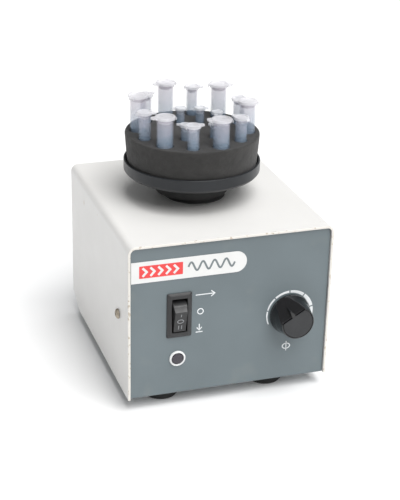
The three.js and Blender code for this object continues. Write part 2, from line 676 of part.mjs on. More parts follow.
class Helix extends THREE.Curve {
  getPoint(t) {
    const angle = 2 * Math.PI * SPRING_TURNS * t;
    const rise = SPRING_LENGTH - 2 * SPRING_WIRE;
    return new THREE.Vector3(
      SPRING_RADIUS * Math.cos(angle),
      SPRING_RADIUS * Math.sin(angle),
      SPRING_BOTTOM + SPRING_WIRE + rise * t,
    );
  }
}

function mountSpring() {
  const section = new THREE.Shape();
  section.absarc(0, 0, SPRING_WIRE, 0, 2 * Math.PI, false);
  const steps = Math.round(SPRING_TURNS * 9);
  return solid(new THREE.ExtrudeGeometry(section, {
    steps, curveSegments: 2, bevelEnabled: false, extrudePath: new Helix(),
  }));
}

// Housing and stator in one, open below for the rotor.
function motorHousing() {
  const bore = MOTOR_RADIUS - 9.4;
  return turned([
    [bore, MOTOR_BOTTOM], [MOTOR_RADIUS, MOTOR_BOTTOM], [MOTOR_RADIUS, MOTOR_TOP - 1.5],
    [MOTOR_RADIUS - 1.5, MOTOR_TOP], [SHAFT_RADIUS + 0.6, MOTOR_TOP],
    [SHAFT_RADIUS + 0.6, MOTOR_TOP - 5.7], [bore, MOTOR_TOP - 5.7], [bore, MOTOR_BOTTOM],
  ], 20);
}

// The end cap holds the shaft's lower end, and its striker works the touch switch.
function motorEndCap() {
  const top = MOTOR_BOTTOM - GAP;
  return turned([
    [0, STRIKER_TIP], [3, STRIKER_TIP], [3, END_CAP_BOTTOM], [MOTOR_RADIUS - 2, END_CAP_BOTTOM],
    [MOTOR_RADIUS, END_CAP_BOTTOM + 2], [MOTOR_RADIUS, top], [SHAFT_RADIUS + GAP, top],
    [SHAFT_RADIUS + GAP, END_CAP_BOTTOM + 1.7], [0, END_CAP_BOTTOM + 1.7],
  ], 20);
}

function motorRotor() {
  const drum = MOTOR_RADIUS - 10;
  return turned([
    [0, END_CAP_BOTTOM + 2], [SHAFT_RADIUS, END_CAP_BOTTOM + 2], [SHAFT_RADIUS, MOTOR_BOTTOM + 5],
    [drum, MOTOR_BOTTOM + 5], [drum, MOTOR_TOP - 9], [SHAFT_RADIUS, MOTOR_TOP - 9],
    [SHAFT_RADIUS, CRANK_Z + 6.2], [0, CRANK_Z + 6.2],
  ], 16);
}

// A counterweighted disc with the eccentric pin on the side away from the weight.
function crank() {
  const top = CRANK_Z + CRANK_THICKNESS;
  const heavySide = box(-18, 0, -18, 18, CRANK_Z - CUT, top + CUT);
  const weight = rod(16, CRANK_Z, top, 20).intersect(heavySide);
  const boss = rod(8, CRANK_Z, top, 16);
  const pin = rod(4, top - CUT, PIN_TOP, 16).translate([ORBIT_RADIUS, 0, 0]);
  const bore = rod(SHAFT_RADIUS + GAP, CRANK_Z - CUT, CRANK_Z + 6.5, 12);
  return cut(join(weight, boss, pin), bore).rotate([0, 0, ORBIT_REST_ANGLE]);
}

function touchSwitch() {
  const body = box(-10, 10, -4, 4, FLOOR_TOP + GAP, SWITCH_TOP);
  return cut(body, rod(BUTTON_RADIUS + GAP, 12.7, SWITCH_TOP + CUT, 12));
}

function touchSwitchButton() {
  return rod(BUTTON_RADIUS, BUTTON_TOP - 5.5, BUTTON_TOP, 12);
}

function buildMotor() {
  place('motor_plate', motorPlate(), STEEL, DRIVE_X, DRIVE_Y);
  place('motor_housing', motorHousing(), MOTOR_STEEL, DRIVE_X, DRIVE_Y);
  place('motor_end_cap', motorEndCap(), ALUMINIUM, DRIVE_X, DRIVE_Y);
  place('motor_rotor', motorRotor(), STEEL, DRIVE_X, DRIVE_Y);
  place('crank', crank(), STEEL, DRIVE_X, DRIVE_Y);
  place('touch_switch', touchSwitch(), BLACK_PLASTIC, DRIVE_X, DRIVE_Y);
  place('touch_switch_button', touchSwitchButton(), WHITE_PLASTIC, DRIVE_X, DRIVE_Y);
  postPlaces.forEach(([x, y], i) => {
    place(`guide_post_${i + 1}`, guidePost(), STEEL, x, y);
    place(`mount_spring_${i + 1}`, mountSpring(), SPRING_STEEL, x, y);
  });
}

// ---------------------------------------------------------------- orbiting head

const BEARING_TOP = CRANK_Z + CRANK_THICKNESS + 10.5;
const HUB_BOTTOM = CRANK_Z + CRANK_THICKNESS + 0.6;
const HUB_TOP = TRAY_Z - GAP;
const SKIRT_SEAT = HUB_TOP - 3.4; // top of the hub's shoulder, which carries the skirt
const SHOULDER_BOTTOM = SKIRT_SEAT - 3.4;

// A folded rubber boot between the cover's hole and the hub, hidden by the skirt.
function rubberBoot() {
  const outer = COVER_HOLE_RADIUS + 3.1;
  const thickness = 1.1;
  const fold = 1.2;
  const bottom = CASE_TOP + GAP;
  const top = SHOULDER_BOTTOM - GAP;
  const folds = 2;
  const outside = [];
  for (let i = 0; i <= 2 * folds; i += 1) {
    const radius = i % 2 === 0 ? outer : outer - fold;
    outside.push([radius, bottom + (top - bottom) * (i / (2 * folds))]);
  }
  const inside = outside.map(([radius, z]) => [radius - thickness, z]).reverse();
  return turned([...outside, ...inside, outside[0]], 20);
}

function headBearing() {
  return ring(4 + GAP, HUB_RADIUS - 3.3, CRANK_Z + CRANK_THICKNESS + 1, BEARING_TOP, 20);
}

function headHub() {
  const bore = HUB_RADIUS - 3;
  return turned([
    [bore, HUB_BOTTOM], [HUB_RADIUS, HUB_BOTTOM], [HUB_RADIUS, SHOULDER_BOTTOM],
    [18, SHOULDER_BOTTOM], [18, SKIRT_SEAT], [HUB_RADIUS, SKIRT_SEAT], [HUB_RADIUS, HUB_TOP],
    [TRAY_SCREW_RADIUS + GAP, HUB_TOP], [TRAY_SCREW_RADIUS + GAP, HUB_TOP - 16],
    [0, HUB_TOP - 16], [0, PIN_TOP + 1], [5.2, PIN_TOP + 1], [5.2, BEARING_TOP + GAP],
    [bore, BEARING_TOP + GAP], [bore, HUB_BOTTOM],
  ], 20);
}

function headSkirt() {
  const wall = 2.2;
  const inner = SKIRT_RADIUS - wall;
  const plateBottom = SKIRT_SEAT + GAP;
  return turned([
    [inner, SKIRT_Z], [SKIRT_RADIUS, SKIRT_Z], [SKIRT_RADIUS, HUB_TOP],
    [HUB_RADIUS + GAP, HUB_TOP], [HUB_RADIUS + GAP, plateBottom],
    [inner, plateBottom], [inner, SKIRT_Z],
  ], 28);
}

function tray() {
  const hole = TRAY_SCREW_RADIUS + 0.5;
  const inner = TRAY_RADIUS - TRAY_WALL;
  const rim = TRAY_Z + TRAY_HEIGHT;
  return turned([
    [hole, TRAY_Z], [TRAY_RADIUS - 2.5, TRAY_Z], [TRAY_RADIUS - 0.7, TRAY_Z + 0.7],
    [TRAY_RADIUS, TRAY_Z + 2.5], [TRAY_RADIUS, rim], [inner, rim], [inner, TRAY_FLOOR_TOP],
    [hole, TRAY_FLOOR_TOP], [hole, TRAY_Z],
  ], 36);
}

function trayScrew() {
  const seat = TRAY_FLOOR_TOP + GAP;
  const body = turned([
    [0, seat - 16], [TRAY_SCREW_RADIUS, seat - 16], [TRAY_SCREW_RADIUS, seat],
    [6, seat], [6, seat + 1.6], [4.6, seat + 3], [0, seat + 3],
  ], 14);
  return cut(body, box(-6.5, 6.5, -0.6, 0.6, seat + 1.8, seat + 4));
}

function buildHead() {
  place('rubber_boot', rubberBoot(), BLACK_RUBBER, DRIVE_X, DRIVE_Y);
  place('head_bearing', headBearing(), STEEL, HEAD_X, HEAD_Y);
  place('head_hub', headHub(), ALUMINIUM, HEAD_X, HEAD_Y);
  place('head_skirt', headSkirt(), BLACK_RUBBER, HEAD_X, HEAD_Y);
  place('tray', tray(), TRAY_PLASTIC, HEAD_X, HEAD_Y);
  place('tray_screw', trayScrew(), STEEL, HEAD_X, HEAD_Y);
}

// ---------------------------------------------------------------- rack and tubes

// Sizes of the three kinds of tube. Heights are measured from the top of the foam.
const LARGE_TUBE = { radius: 5.4, bottom: -20.5, coneTop: -3, top: 19, lidRadius: 6.7, tab: 9.6 };
const MEDIUM_TUBE = { radius: 3.95, bottom: -15, coneTop: -2.5, top: 16.1, lidRadius: 5.1, tab: 7.8 };
const SMALL_TUBE = { radius: 3, bottom: -10.4, coneTop: -1, top: 10.6, lidRadius: 3.9, tab: 6 };

// Each place on the outer ring, going round from the front left: which way its lid's tab points.
const OUTER_TABS = [182, 8, 168, 120, 150, 60, -25, -15, 190, 30, 35, -20];
const INNER_TABS = [150, 20, 60, -10, 170];

// How far each tube of the outer ring stands above the bottom of its hole.
const OUTER_RISES = [1, 0, 0, 0, 2.5, 1.5, 4.5, 4, 5, 3.5, 5.5, 2.5];

function ringPlace(radius, angle) {
  return [radius * Math.cos(radians(angle)), radius * Math.sin(radians(angle))];
}

function tubePlaces() {
  const places = OUTER_TABS.map((tab, i) => {
    const [x, y] = ringPlace(OUTER_RING, OUTER_PHASE + i * (360 / OUTER_TABS.length));
    const rise = OUTER_RISES[i];
    return i % 2 === 0
      ? { name: `large_tube_${i / 2 + 1}`, kind: LARGE_TUBE, x, y, rise, tab }
      : { name: `medium_tube_${(i + 1) / 2}`, kind: MEDIUM_TUBE, x, y, rise, tab };
  });
  INNER_ANGLES.forEach((angle, i) => {
    const [x, y] = ringPlace(INNER_RING, angle);
    const name = `small_tube_${i + 1}`;
    places.push({ name, kind: SMALL_TUBE, x, y, rise: 0, tab: INNER_TABS[i] });
  });
  return places;
}

function foamRack(places) {
  const block = turned([
    [8.5, TRAY_FLOOR_TOP + GAP], [43.2, TRAY_FLOOR_TOP + GAP], [44.1, TRAY_Z + TRAY_HEIGHT],
    [FOAM_TOP_RADIUS, FOAM_TOP - 0.6], [FOAM_TOP_RADIUS - 0.6, FOAM_TOP], [0, FOAM_TOP],
    [0, TRAY_FLOOR_TOP + 5], [8.5, TRAY_FLOOR_TOP + 5], [8.5, TRAY_FLOOR_TOP + GAP],
  ], 36);
  const holes = places.map(({ kind, x, y }) => rod(kind.radius + GAP,
    FOAM_TOP + kind.bottom - 0.4, FOAM_TOP + CUT, 10).translate([x, y, 0]));
  return cut(block, ...holes);
}

// A closed micro tube: pointed body, rim, lid with its tab and the strap that hinges it.
function microTube({ radius, bottom, coneTop, top, lidRadius, tab }, direction) {
  const lidBottom = top - 2;
  const rimBottom = lidBottom - 1.6;
  const body = turned([
    [0, bottom], [radius * 0.4, bottom + 0.6], [radius, coneTop],
    [radius, rimBottom], [lidRadius - 0.5, rimBottom + 0.4], [lidRadius, lidBottom],
    [lidRadius, top], [0, top],
  ], 8);
  const half = lidRadius * 0.33;
  const tabOutline = roundedRectangle(radius * 0.6, tab, -half, half, half * 0.9);
  const lidTab = slab(tabOutline, lidBottom + 0.5, top - 0.3, 2);
  const strap = box(-lidRadius - 1.6, -radius * 0.6, -half, half, rimBottom + 0.6, top - 0.5);
  return join(body, lidTab, strap).rotate([0, 0, direction]);
}

function buildRack() {
  const places = tubePlaces();
  place('foam_rack', foamRack(places), FOAM, HEAD_X, HEAD_Y);
  for (const { name, kind, x, y, rise, tab } of places) {
    place(name, microTube(kind, tab), TUBE_PLASTIC, HEAD_X + x, HEAD_Y + y, FOAM_TOP + rise);
  }
}

// ---------------------------------------------------------------- whole

buildCase();
buildFrontPanel();
buildRearPanel();
buildMotor();
buildHead();
buildRack();

const bounds = new THREE.Box3().setFromObject(mixer);
const middle = bounds.getCenter(new THREE.Vector3());
mixer.position.set(-middle.x, -middle.y, -bounds.min.z);

export default mixer;
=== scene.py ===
"""The looks of a vortex mixer with a rack of micro tubes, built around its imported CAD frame.

Lengths are in millimetres in the frame's own axes: +X to the right, +Y to the rear, +Z up. What
goes to Blender is turned into metres by MM. Each detailed piece stands for one CAD node and rides
on that node's body. Printed marks are thin solids that lie on the piece they are printed on.
"""

import json
import math

import bmesh
import bpy
from mathutils import Matrix, Vector


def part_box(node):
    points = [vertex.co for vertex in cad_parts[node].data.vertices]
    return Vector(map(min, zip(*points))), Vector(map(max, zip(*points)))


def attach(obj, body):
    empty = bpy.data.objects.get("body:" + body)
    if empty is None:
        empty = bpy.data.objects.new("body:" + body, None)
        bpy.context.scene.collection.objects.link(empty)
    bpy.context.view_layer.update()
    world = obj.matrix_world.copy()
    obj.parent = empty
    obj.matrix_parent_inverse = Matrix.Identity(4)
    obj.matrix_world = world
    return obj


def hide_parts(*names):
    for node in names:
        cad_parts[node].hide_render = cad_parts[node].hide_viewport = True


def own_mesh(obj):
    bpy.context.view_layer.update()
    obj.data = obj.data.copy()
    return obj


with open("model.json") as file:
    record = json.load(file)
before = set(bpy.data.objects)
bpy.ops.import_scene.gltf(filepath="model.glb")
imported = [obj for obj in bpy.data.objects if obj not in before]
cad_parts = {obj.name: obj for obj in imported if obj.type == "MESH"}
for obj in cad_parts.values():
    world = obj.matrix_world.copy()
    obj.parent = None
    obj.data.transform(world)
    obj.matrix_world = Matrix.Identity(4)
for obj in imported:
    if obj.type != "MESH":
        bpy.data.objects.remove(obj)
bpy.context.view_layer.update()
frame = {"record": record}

# ---------- places read from the frame

MM = 0.001  # a millimetre in the metres of the scene
RECORD = frame["record"]
BODY_OF = {node: body for body, nodes in RECORD["behaviour"]["bodies"].items() for node in nodes}


def box(node):
    """The lowest and highest corner of a CAD node."""
    low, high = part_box(node)
    return low / MM, high / MM


def lowest(node):
    return box(node)[0]


def highest(node):
    return box(node)[1]


def middle(node):
    low, high = box(node)
    return (low + high) / 2


def radius_of(node):
    return (highest(node).x - lowest(node).x) / 2


def heights(node):
    return lowest(node).z, highest(node).z


def floor_point(node):
    """The point on the floor under the middle of a node."""
    return Vector((middle(node).x, middle(node).y, 0))


def on_panel(node, y):
    """The middle of a node, moved to the front or rear panel at the depth `y`."""
    return Vector((middle(node).x, y, middle(node).z))


CASE_LOW, CASE_HIGH = box("top_cover")
PANEL_Y = lowest("chassis").y
REAR_PANEL_Y = highest("chassis").y
HEAD = floor_point("tray")
DRIVE = floor_point("motor_plate")
FOAM_TOP = highest("foam_rack").z
KNOB = on_panel("knob", PANEL_Y)
SWITCH = on_panel("switch_body", PANEL_Y)
LAMP = on_panel("lamp_bezel", PANEL_Y)
INLET = on_panel("inlet_socket", REAR_PANEL_Y)
FUSE = on_panel("fuse_holder", REAR_PANEL_Y)

COVER_SHEET = 1.6
COVER_BEND = 5
CHASSIS_SHEET = 1.2
CLEARANCE = 0.3
REAR_SLOPE = 20  # how far the sloping lower rear corner reaches forward
REAR_RISE = 9.3  # and up
THROUGH = 80  # from the middle of the case, beyond its side
WELD = 0.001  # points closer than this are one point

# Each of these turns a piece that was built along +Z: its columns say where X, Y and Z go.
UP = Matrix.Identity(3)
FRONT = Matrix(((1, 0, 0), (0, 0, -1), (0, 1, 0)))
REAR = Matrix(((1, 0, 0), (0, 0, 1), (0, -1, 0)))
LEFT = Matrix(((0, 0, -1), (1, 0, 0), (0, -1, 0)))
RIGHT = Matrix(((0, 0, 1), (1, 0, 0), (0, 1, 0)))


# ---------- outlines


def filleted(corners, steps=4, closed=True):
    """Points of an outline whose corners (u, v, radius) are rounded by arcs."""
    points = []
    last = len(corners) - 1
    for i, (u, v, radius) in enumerate(corners):
        here = Vector((u, v))
        if radius == 0 or (not closed and i in (0, last)):
            points.append(here)
            continue
        back = (Vector(corners[i - 1][:2]) - here).normalized()
        ahead = (Vector(corners[(i + 1) % len(corners)][:2]) - here).normalized()
        opening = back.angle(ahead)
        reach = radius / math.tan(opening / 2)
        centre = here + (back + ahead).normalized() * radius / math.sin(opening / 2)
        first = (here + back * reach - centre).normalized()
        final = (here + ahead * reach - centre).normalized()
        for k in range(steps + 1):
            points.append(centre + first.slerp(final, k / steps) * radius)
    return points


def rounded_rectangle(half_width, half_height, radius, steps=5):
    sides = ((1, -1), (1, 1), (-1, 1), (-1, -1))
    return filleted([(a * half_width, b * half_height, radius) for a, b in sides], steps)


def arc(radius, start, stop, steps):
    """Points of an arc between two angles in degrees."""
    angles = [math.radians(start + (stop - start) * k / steps) for k in range(steps + 1)]
    return [Vector((radius * math.cos(a), radius * math.sin(a))) for a in angles]


def direction(degrees):
    return Vector((math.cos(math.radians(degrees)), math.sin(math.radians(degrees))))


def neighbours(points):
    """(point before, point, point after) along an open line; its ends count as their own."""
    return zip(points[:1] + points, points, points[1:] + points[-1:])


# ---------- solids


def bridge(bm, first, second):
    """Quads between two closed rows of vertices."""
    for i in range(len(first)):
        j = (i + 1) % len(first)
        bm.faces.new((first[i], first[j], second[j], second[i]))


def skin(bm, rows, closed=False):
    """Faces from row to row, with a cap on each end or, if closed, on to the first row."""
    for a, b in zip(rows, rows[1:]):
        bridge(bm, a, b)
    if closed:
        bridge(bm, rows[-1], rows[0])
    else:
        bm.faces.new(rows[0])
        bm.faces.new(rows[-1])
    return bm


def turned(corners, segments=64, steps=4):
    """A solid turned about Z from corners (radius, z, fillet). It ends on the axis or closes."""
    on_axis = corners[0][0] == 0
    profile = filleted([(*c, 0)[:3] for c in corners], steps, closed=not on_axis)
    bm = bmesh.new()
    rings = []
    for radius, z in profile:
        if radius < WELD:
            rings.append([bm.verts.new((0, 0, z))])
            continue
        spots = [direction(360 * k / segments) * radius for k in range(segments)]
        rings.append([bm.verts.new((p.x, p.y, z)) for p in spots])
    pairs = list(zip(rings, rings[1:]))
    if not on_axis:
        pairs.append((rings[-1], rings[0]))
    for a, b in pairs:
        if len(a) == 1 and len(b) == 1:
            continue
        if len(a) > 1 and len(b) > 1:
            bridge(bm, a, b)
            continue
        pole, rim = (a[0], b) if len(a) == 1 else (b[0], a)
        for k in range(segments):
            bm.faces.new((pole, rim[k], rim[(k + 1) % segments]))
    return bm


def lofted(loops):
    """A solid through loops of equally many points, each given as (outline, z)."""
    bm = bmesh.new()
    rows = [[bm.verts.new((p[0], p[1], z)) for p in outline] for outline, z in loops]
    return skin(bm, rows)


def slab(outline, z0, z1):
    return lofted([(outline, z0), (outline, z1)])


def block(x0, x1, y0, y1, z0, z1):
    return slab([(x0, y0), (x1, y0), (x1, y1), (x0, y1)], z0, z1)


def rod(radius, z0, z1, segments=48, fillet0=0, fillet1=0):
    return turned([(0, z0), (radius, z0, fillet0), (radius, z1, fillet1), (0, z1)], segments)


def ring(inner, outer, z0, z1, fillet=0, segments=64):
    corners = ((inner, z0), (outer, z0), (outer, z1), (inner, z1))
    return turned([(*corner, fillet) for corner in corners], segments)


def sheet(outer, inner, z0, z1):
    """A solid between two open curves of equally many points."""
    bm = bmesh.new()
    rows = [[bm.verts.new((p[0], p[1], z)) for p in [*outer, *inner[::-1]]] for z in (z0, z1)]
    bridge(bm, rows[0], rows[1])
    for row in rows:
        for i in range(len(outer) - 1):
            bm.faces.new((row[i], row[i + 1], row[-2 - i], row[-1 - i]))
    return bm


def ribbon(points, width, thickness, closed=False):
    """A flat line of that width along points in X and Y, lying on Z = 0."""
    bm = bmesh.new()
    count = len(points)
    spots = [Vector(p[:2]) for p in points]
    rows = []
    for i, here in enumerate(spots):
        before = spots[i - 1] if closed or i else here
        after = spots[(i + 1) % count] if closed or i < count - 1 else here
        along = (after - before).normalized()
        side = Vector((-along.y, along.x)) * width / 2
        if 0 < i < count - 1 or closed:
            turn = (here - before).normalized().dot(along)
            side = side / max(turn, 0.5)
        left, right = here + side, here - side
        section = ((left, 0), (right, 0), (right, thickness), (left, thickness))
        rows.append([bm.verts.new((p.x, p.y, z)) for p, z in section])
    return skin(bm, rows, closed)


def swept(points, radius, sides=8):
    """A round wire along points in space."""
    bm = bmesh.new()
    rows = []
    section = [direction(360 * k / sides) * radius for k in range(sides)]
    for before, here, after in neighbours(points):
        along = (after - before).normalized()
        across = along.cross(Vector((0, 0, 1))).normalized()
        other = along.cross(across)
        rows.append([bm.verts.new(here + across * p.x + other * p.y) for p in section])
    return skin(bm, rows)


def moved(bm, offset=(0, 0, 0), turn=UP):
    """The same solid, turned and then shifted."""
    bmesh.ops.transform(bm, matrix=Matrix.Translation(offset) @ turn.to_4x4(), verts=bm.verts)
    return bm


def spun(bm, degrees):
    return moved(bm, turn=Matrix.Rotation(math.radians(degrees), 3, "Z"))


def together(*solids):
    """Separate solids as one mesh."""
    whole = bmesh.new()
    for bm in solids:
        part = bpy.data.meshes.new("part")
        bm.to_mesh(part)
        bm.free()
        whole.from_mesh(part)
        bpy.data.meshes.remove(part)
    return whole


def as_object(name, bm):
    mesh = bpy.data.meshes.new(name)
    bm.to_mesh(mesh)
    bm.free()
    obj = bpy.data.objects.new(name, mesh)
    bpy.context.scene.collection.objects.link(obj)
    return obj


def combined(body, tools, operation):
    """The solid left after each tool is cut from, joined to or intersected with the body."""
    for bm in (body, *tools):
        bmesh.ops.recalc_face_normals(bm, faces=bm.faces)
    stock = as_object("stock", body)
    others = [as_object("tool", tool) for tool in tools]
    for other in others:
        change = stock.modifiers.new("change", "BOOLEAN")
        change.operation = operation
        change.solver = "EXACT"
        change.object = other
    bpy.context.view_layer.update()
    evaluated = stock.evaluated_get(bpy.context.evaluated_depsgraph_get())
    result = bmesh.new()
    result.from_mesh(evaluated.to_mesh())
    for obj in (stock, *others):
        mesh = obj.data
        bpy.data.objects.remove(obj)
        bpy.data.meshes.remove(mesh)
    bmesh.ops.remove_doubles(result, verts=result.verts, dist=WELD)
    bmesh.ops.dissolve_degenerate(result, edges=result.edges, dist=WELD)
    return result


def cut(body, *tools):
    return combined(body, tools, "DIFFERENCE")


def join(body, *tools):
    return combined(body, tools, "UNION")


# ---------- pieces

SHARP = math.radians(38)


def make(name, bm, look, at, facing):
    """An object from a solid that is built along +Z about the point `at`."""
    moved(bm, at, facing)
    moved(bm, turn=UP * MM)
    bmesh.ops.recalc_face_normals(bm, faces=bm.faces)
    for face in bm.faces:
        face.smooth = True
    for edge in bm.edges:
        edge.smooth = len(edge.link_faces) == 2 and edge.calc_face_angle() < SHARP
    obj = as_object(name, bm)
    obj.data.materials.append(look)
    return obj


def soften(obj, width, segments):
    """Rounds the sharp edges of a piece."""
    if width:
        edges = obj.modifiers.new("edges", "BEVEL")
        edges.width = width * MM
        edges.segments = segments
        edges.limit_method = "ANGLE"
        edges.angle_limit = SHARP
        edges.use_clamp_overlap = False
        edges.harden_normals = False
    obj.modifiers.new("normals", "WEIGHTED_NORMAL").keep_sharp = True


def trim(name, host, bm, look, at=(0, 0, 0), facing=UP, edge=0.0, segments=2):
    """A piece that moves with the CAD node `host`."""
    obj = make(name, bm, look, at, facing)
    soften(obj, edge, segments)
    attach(obj, BODY_OF[host])
    return obj


def stand_in(node, bm, look, at=(0, 0, 0), facing=UP, edge=0.0, segments=2):
    """A detailed piece in the place of a CAD node, on the same body and with its finish."""
    obj = trim(node + "_detail", node, bm, look, at, facing, edge, segments)
    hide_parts(node)
    return obj


# ---------- materials


class Look:
    """A node material on the Principled shader, written in the piece's own coordinates."""

    def __init__(self, name, roughness=0.5, metallic=0.0):
        self.material = bpy.data.materials.new(name)
        self.material.use_nodes = True
        self.nodes = self.material.node_tree.nodes
        self.links = self.material.node_tree.links
        self.shader = next(n for n in self.nodes if n.type == "BSDF_PRINCIPLED")
        self.place = self.node("TexCoord").outputs["Object"]
        self.set(Metallic=metallic, Roughness=roughness)

    def feed(self, socket, value):
        """Gives an input a value or another node's output."""
        if isinstance(value, bpy.types.NodeSocket):
            self.links.new(value, socket)
        else:
            socket.default_value = value

    def node(self, kind, **inputs):
        """A shader node. An input's name has _ for each space."""
        node = self.nodes.new("ShaderNode" + kind)
        for name, value in inputs.items():
            self.feed(node.inputs[name.replace("_", " ")], value)
        return node

    def set(self, **inputs):
        """Sets inputs of the Principled shader."""
        for name, value in inputs.items():
            self.feed(self.shader.inputs[name.replace("_", " ")], value)

    def noise(self, size, detail=3.0, stretch=None):
        """Noise whose features are about `size` across."""
        place = self.place
        if stretch:
            place = self.node("Mapping", Vector=place, Scale=stretch).outputs["Vector"]
        texture = self.node("TexNoise", Vector=place, Scale=1 / (size * MM), Detail=detail)
        return texture.outputs["Fac"]

    def cells(self, size):
        return self.node("TexVoronoi", Vector=self.place, Scale=1 / (size * MM)).outputs["Distance"]

    def ramp(self, value, low, high, bottom=0.0, top=1.0):
        """`value` between low and high, mapped to bottom and top."""
        return self.node("MapRange", Value=value, From_Min=low, From_Max=high, To_Min=bottom,
                         To_Max=top).outputs["Result"]

    def math(self, operation, *values):
        node = self.node("Math")
        node.operation = operation
        for socket, value in zip(node.inputs, values):
            self.feed(socket, value)
        return node.outputs["Value"]

    def axis(self, letter):
        """The place along one axis, in millimetres."""
        split = self.node("SeparateXYZ", Vector=self.place)
        return self.math("DIVIDE", split.outputs[letter], MM)

    def mix(self, share, first, second):
        """A colour between two colours or colour outputs."""
        node = self.node("Mix")
        node.data_type = "RGBA"
        self.feed(node.inputs["Factor"], share)
        for socket, colour in ((node.inputs[6], first), (node.inputs[7], second)):
            self.feed(socket, (*colour, 1) if isinstance(colour, tuple) else colour)
        return node.outputs[2]

    def mottled(self, colour, size, amount):
        """The base colour, a little lighter and darker in patches."""
        darker = tuple(c * (1 - amount) for c in colour)
        lighter = tuple(min(1, c * (1 + amount)) for c in colour)
        return self.mix(self.ramp(self.noise(size), 0.3, 0.7), darker, lighter)

    def uneven_gloss(self, size, low, high):
        self.set(Roughness=self.ramp(self.noise(size), 0.3, 0.7, low, high))

    def bump(self, height, depth, strength=1.0):
        node = self.node("Bump", Strength=strength, Distance=depth * MM, Height=height)
        self.set(Normal=node.outputs["Normal"])


def grained(name, colour, gloss, grain=0.5, depth=0.02, mottle=0.08, metallic=0.0, **settings):
    """A material with fine grain, patches of slightly different colour and uneven gloss."""
    look = Look(name, metallic=metallic)
    look.set(Base_Color=look.mottled(colour, 9, mottle))
    look.uneven_gloss(5, *gloss)
    look.bump(look.noise(grain), depth)
    look.set(**settings)
    return look.material


def white_powder_coat():
    """White powder coat with orange peel, chipped to a yellow primer along its front edge."""
    look = Look("white_powder_coat")
    clean = look.mottled((0.775, 0.765, 0.745), 45, 0.012)
    from_edge = look.math("SUBTRACT", look.axis("Y"), CASE_LOW.y)
    near_edge = look.ramp(from_edge, 0.3, 1.9, 1.0, 0.0)
    flakes = look.ramp(look.noise(3.2, detail=6), 0.57, 0.64)
    chips = look.math("MULTIPLY", near_edge, flakes)
    chipped = look.mix(look.math("MULTIPLY", chips, 0.75), clean, (0.36, 0.27, 0.17))
    edge_line = look.ramp(from_edge, 0.0, 0.9, 0.35, 0.0)
    warm = look.mix(edge_line, chipped, (0.62, 0.56, 0.46))
    look.set(Base_Color=look.mix(scuffs(look), warm, (0.48, 0.38, 0.27)))
    look.uneven_gloss(12, 0.28, 0.38)
    look.bump(look.noise(1.1, detail=2), 0.035, 0.5)
    return look.material


def scuffs(look):
    """Two small marks on the left wall and a few specks."""
    marks = []
    for height, depth, length in ((14.6, 116, 2.4), (8.5, 78, 0.9)):
        down = look.math("SUBTRACT", look.axis("Z"), CASE_HIGH.z - height)
        back = look.math("SUBTRACT", look.axis("Y"), CASE_LOW.y + depth)
        spread = look.math("ADD", look.math("ABSOLUTE", look.math("DIVIDE", down, 1.4)),
                           look.math("ABSOLUTE", look.math("MULTIPLY", back, 1.6)))
        marks.append(look.ramp(spread, 0.4 * length, length, 0.7, 0.0))
    on_left = look.ramp(look.axis("X"), CASE_LOW.x, CASE_LOW.x + 2, 1.0, 0.0)
    both = look.math("MULTIPLY", look.math("MAXIMUM", *marks), on_left)
    specks = look.ramp(look.noise(2.2, detail=1), 0.80, 0.83, 0.0, 0.35)
    return look.math("MAXIMUM", both, specks)


def grey_panel_paint():
    look = Look("grey_panel_paint")
    clean = look.mottled((0.142, 0.174, 0.187), 38, 0.05)
    smudges = look.ramp(look.noise(24, detail=2), 0.62, 0.75, 0.0, 0.22)
    look.set(Base_Color=look.mix(smudges, clean, (0.235, 0.25, 0.225)))
    look.uneven_gloss(14, 0.42, 0.52)
    look.bump(look.noise(0.8, detail=2), 0.02, 0.6)
    return look.material


def closed_cell_foam():
    look = Look("closed_cell_foam")
    cells = look.cells(0.7)
    # The pores are painted darker than the foam round them: painted shade in their hollows.
    shaded_pores = look.ramp(cells, 0.1, 0.5)
    tone = look.mottled((0.022, 0.021, 0.020), 7, 0.18)
    look.set(Base_Color=look.mix(shaded_pores, (0.019, 0.018, 0.017), tone))
    look.uneven_gloss(4, 0.82, 0.95)
    rough = look.math("ADD", look.math("MULTIPLY", cells, 0.6), look.noise(0.4, detail=4))
    look.bump(rough, 0.16, 0.8)
    look.set(Sheen_Weight=0.12, Sheen_Roughness=0.6)
    return look.material


def natural_polypropylene(name, painted_shade_colour, lit_colour, cover):
    """Milky plastic, painted bluer and darker near the foam as painted shade from the dark foam
    behind it. Each wall hides `cover` of what lies behind it.
    """
    look = Look(name)
    # Painted shade: the colour runs from the shaded colour near the foam to the lit colour higher up.
    height = look.ramp(look.axis("Z"), FOAM_TOP + 2, FOAM_TOP + 21)
    wavy = look.math("ADD", height, look.ramp(look.noise(5), 0.3, 0.7, -0.2, 0.2))
    look.set(Base_Color=look.mix(look.ramp(wavy, 0.0, 1.0), painted_shade_colour, lit_colour))
    look.uneven_gloss(3, 0.24, 0.36)
    look.bump(look.noise(2.5, detail=1), 0.05, 0.4)
    look.set(Alpha=cover, IOR=1.49)
    return look.material


def lamp_lens_plastic():
    look = Look("lamp_lens_plastic")
    cells = look.cells(0.9)
    # The hollows of the cells are painted darker than their rims: painted shade in the dimples of the
    # lens.
    deep, pale = (0.016, 0.013, 0.020), (0.036, 0.030, 0.042)
    look.set(Base_Color=look.mix(look.ramp(cells, 0.1, 0.6), deep, pale))
    look.uneven_gloss(2, 0.16, 0.26)
    look.bump(cells, 0.08, 0.7)
    look.set(Coat_Weight=0.4)
    return look.material


def turned_metal(name, colour, gloss):
    """Machined metal with fine tool marks."""
    look = Look(name, metallic=1.0)
    look.set(Base_Color=look.mottled(colour, 6, 0.1))
    look.uneven_gloss(3, *gloss)
    look.bump(look.noise(0.25, detail=3, stretch=(1, 1, 6)), 0.012)
    return look.material


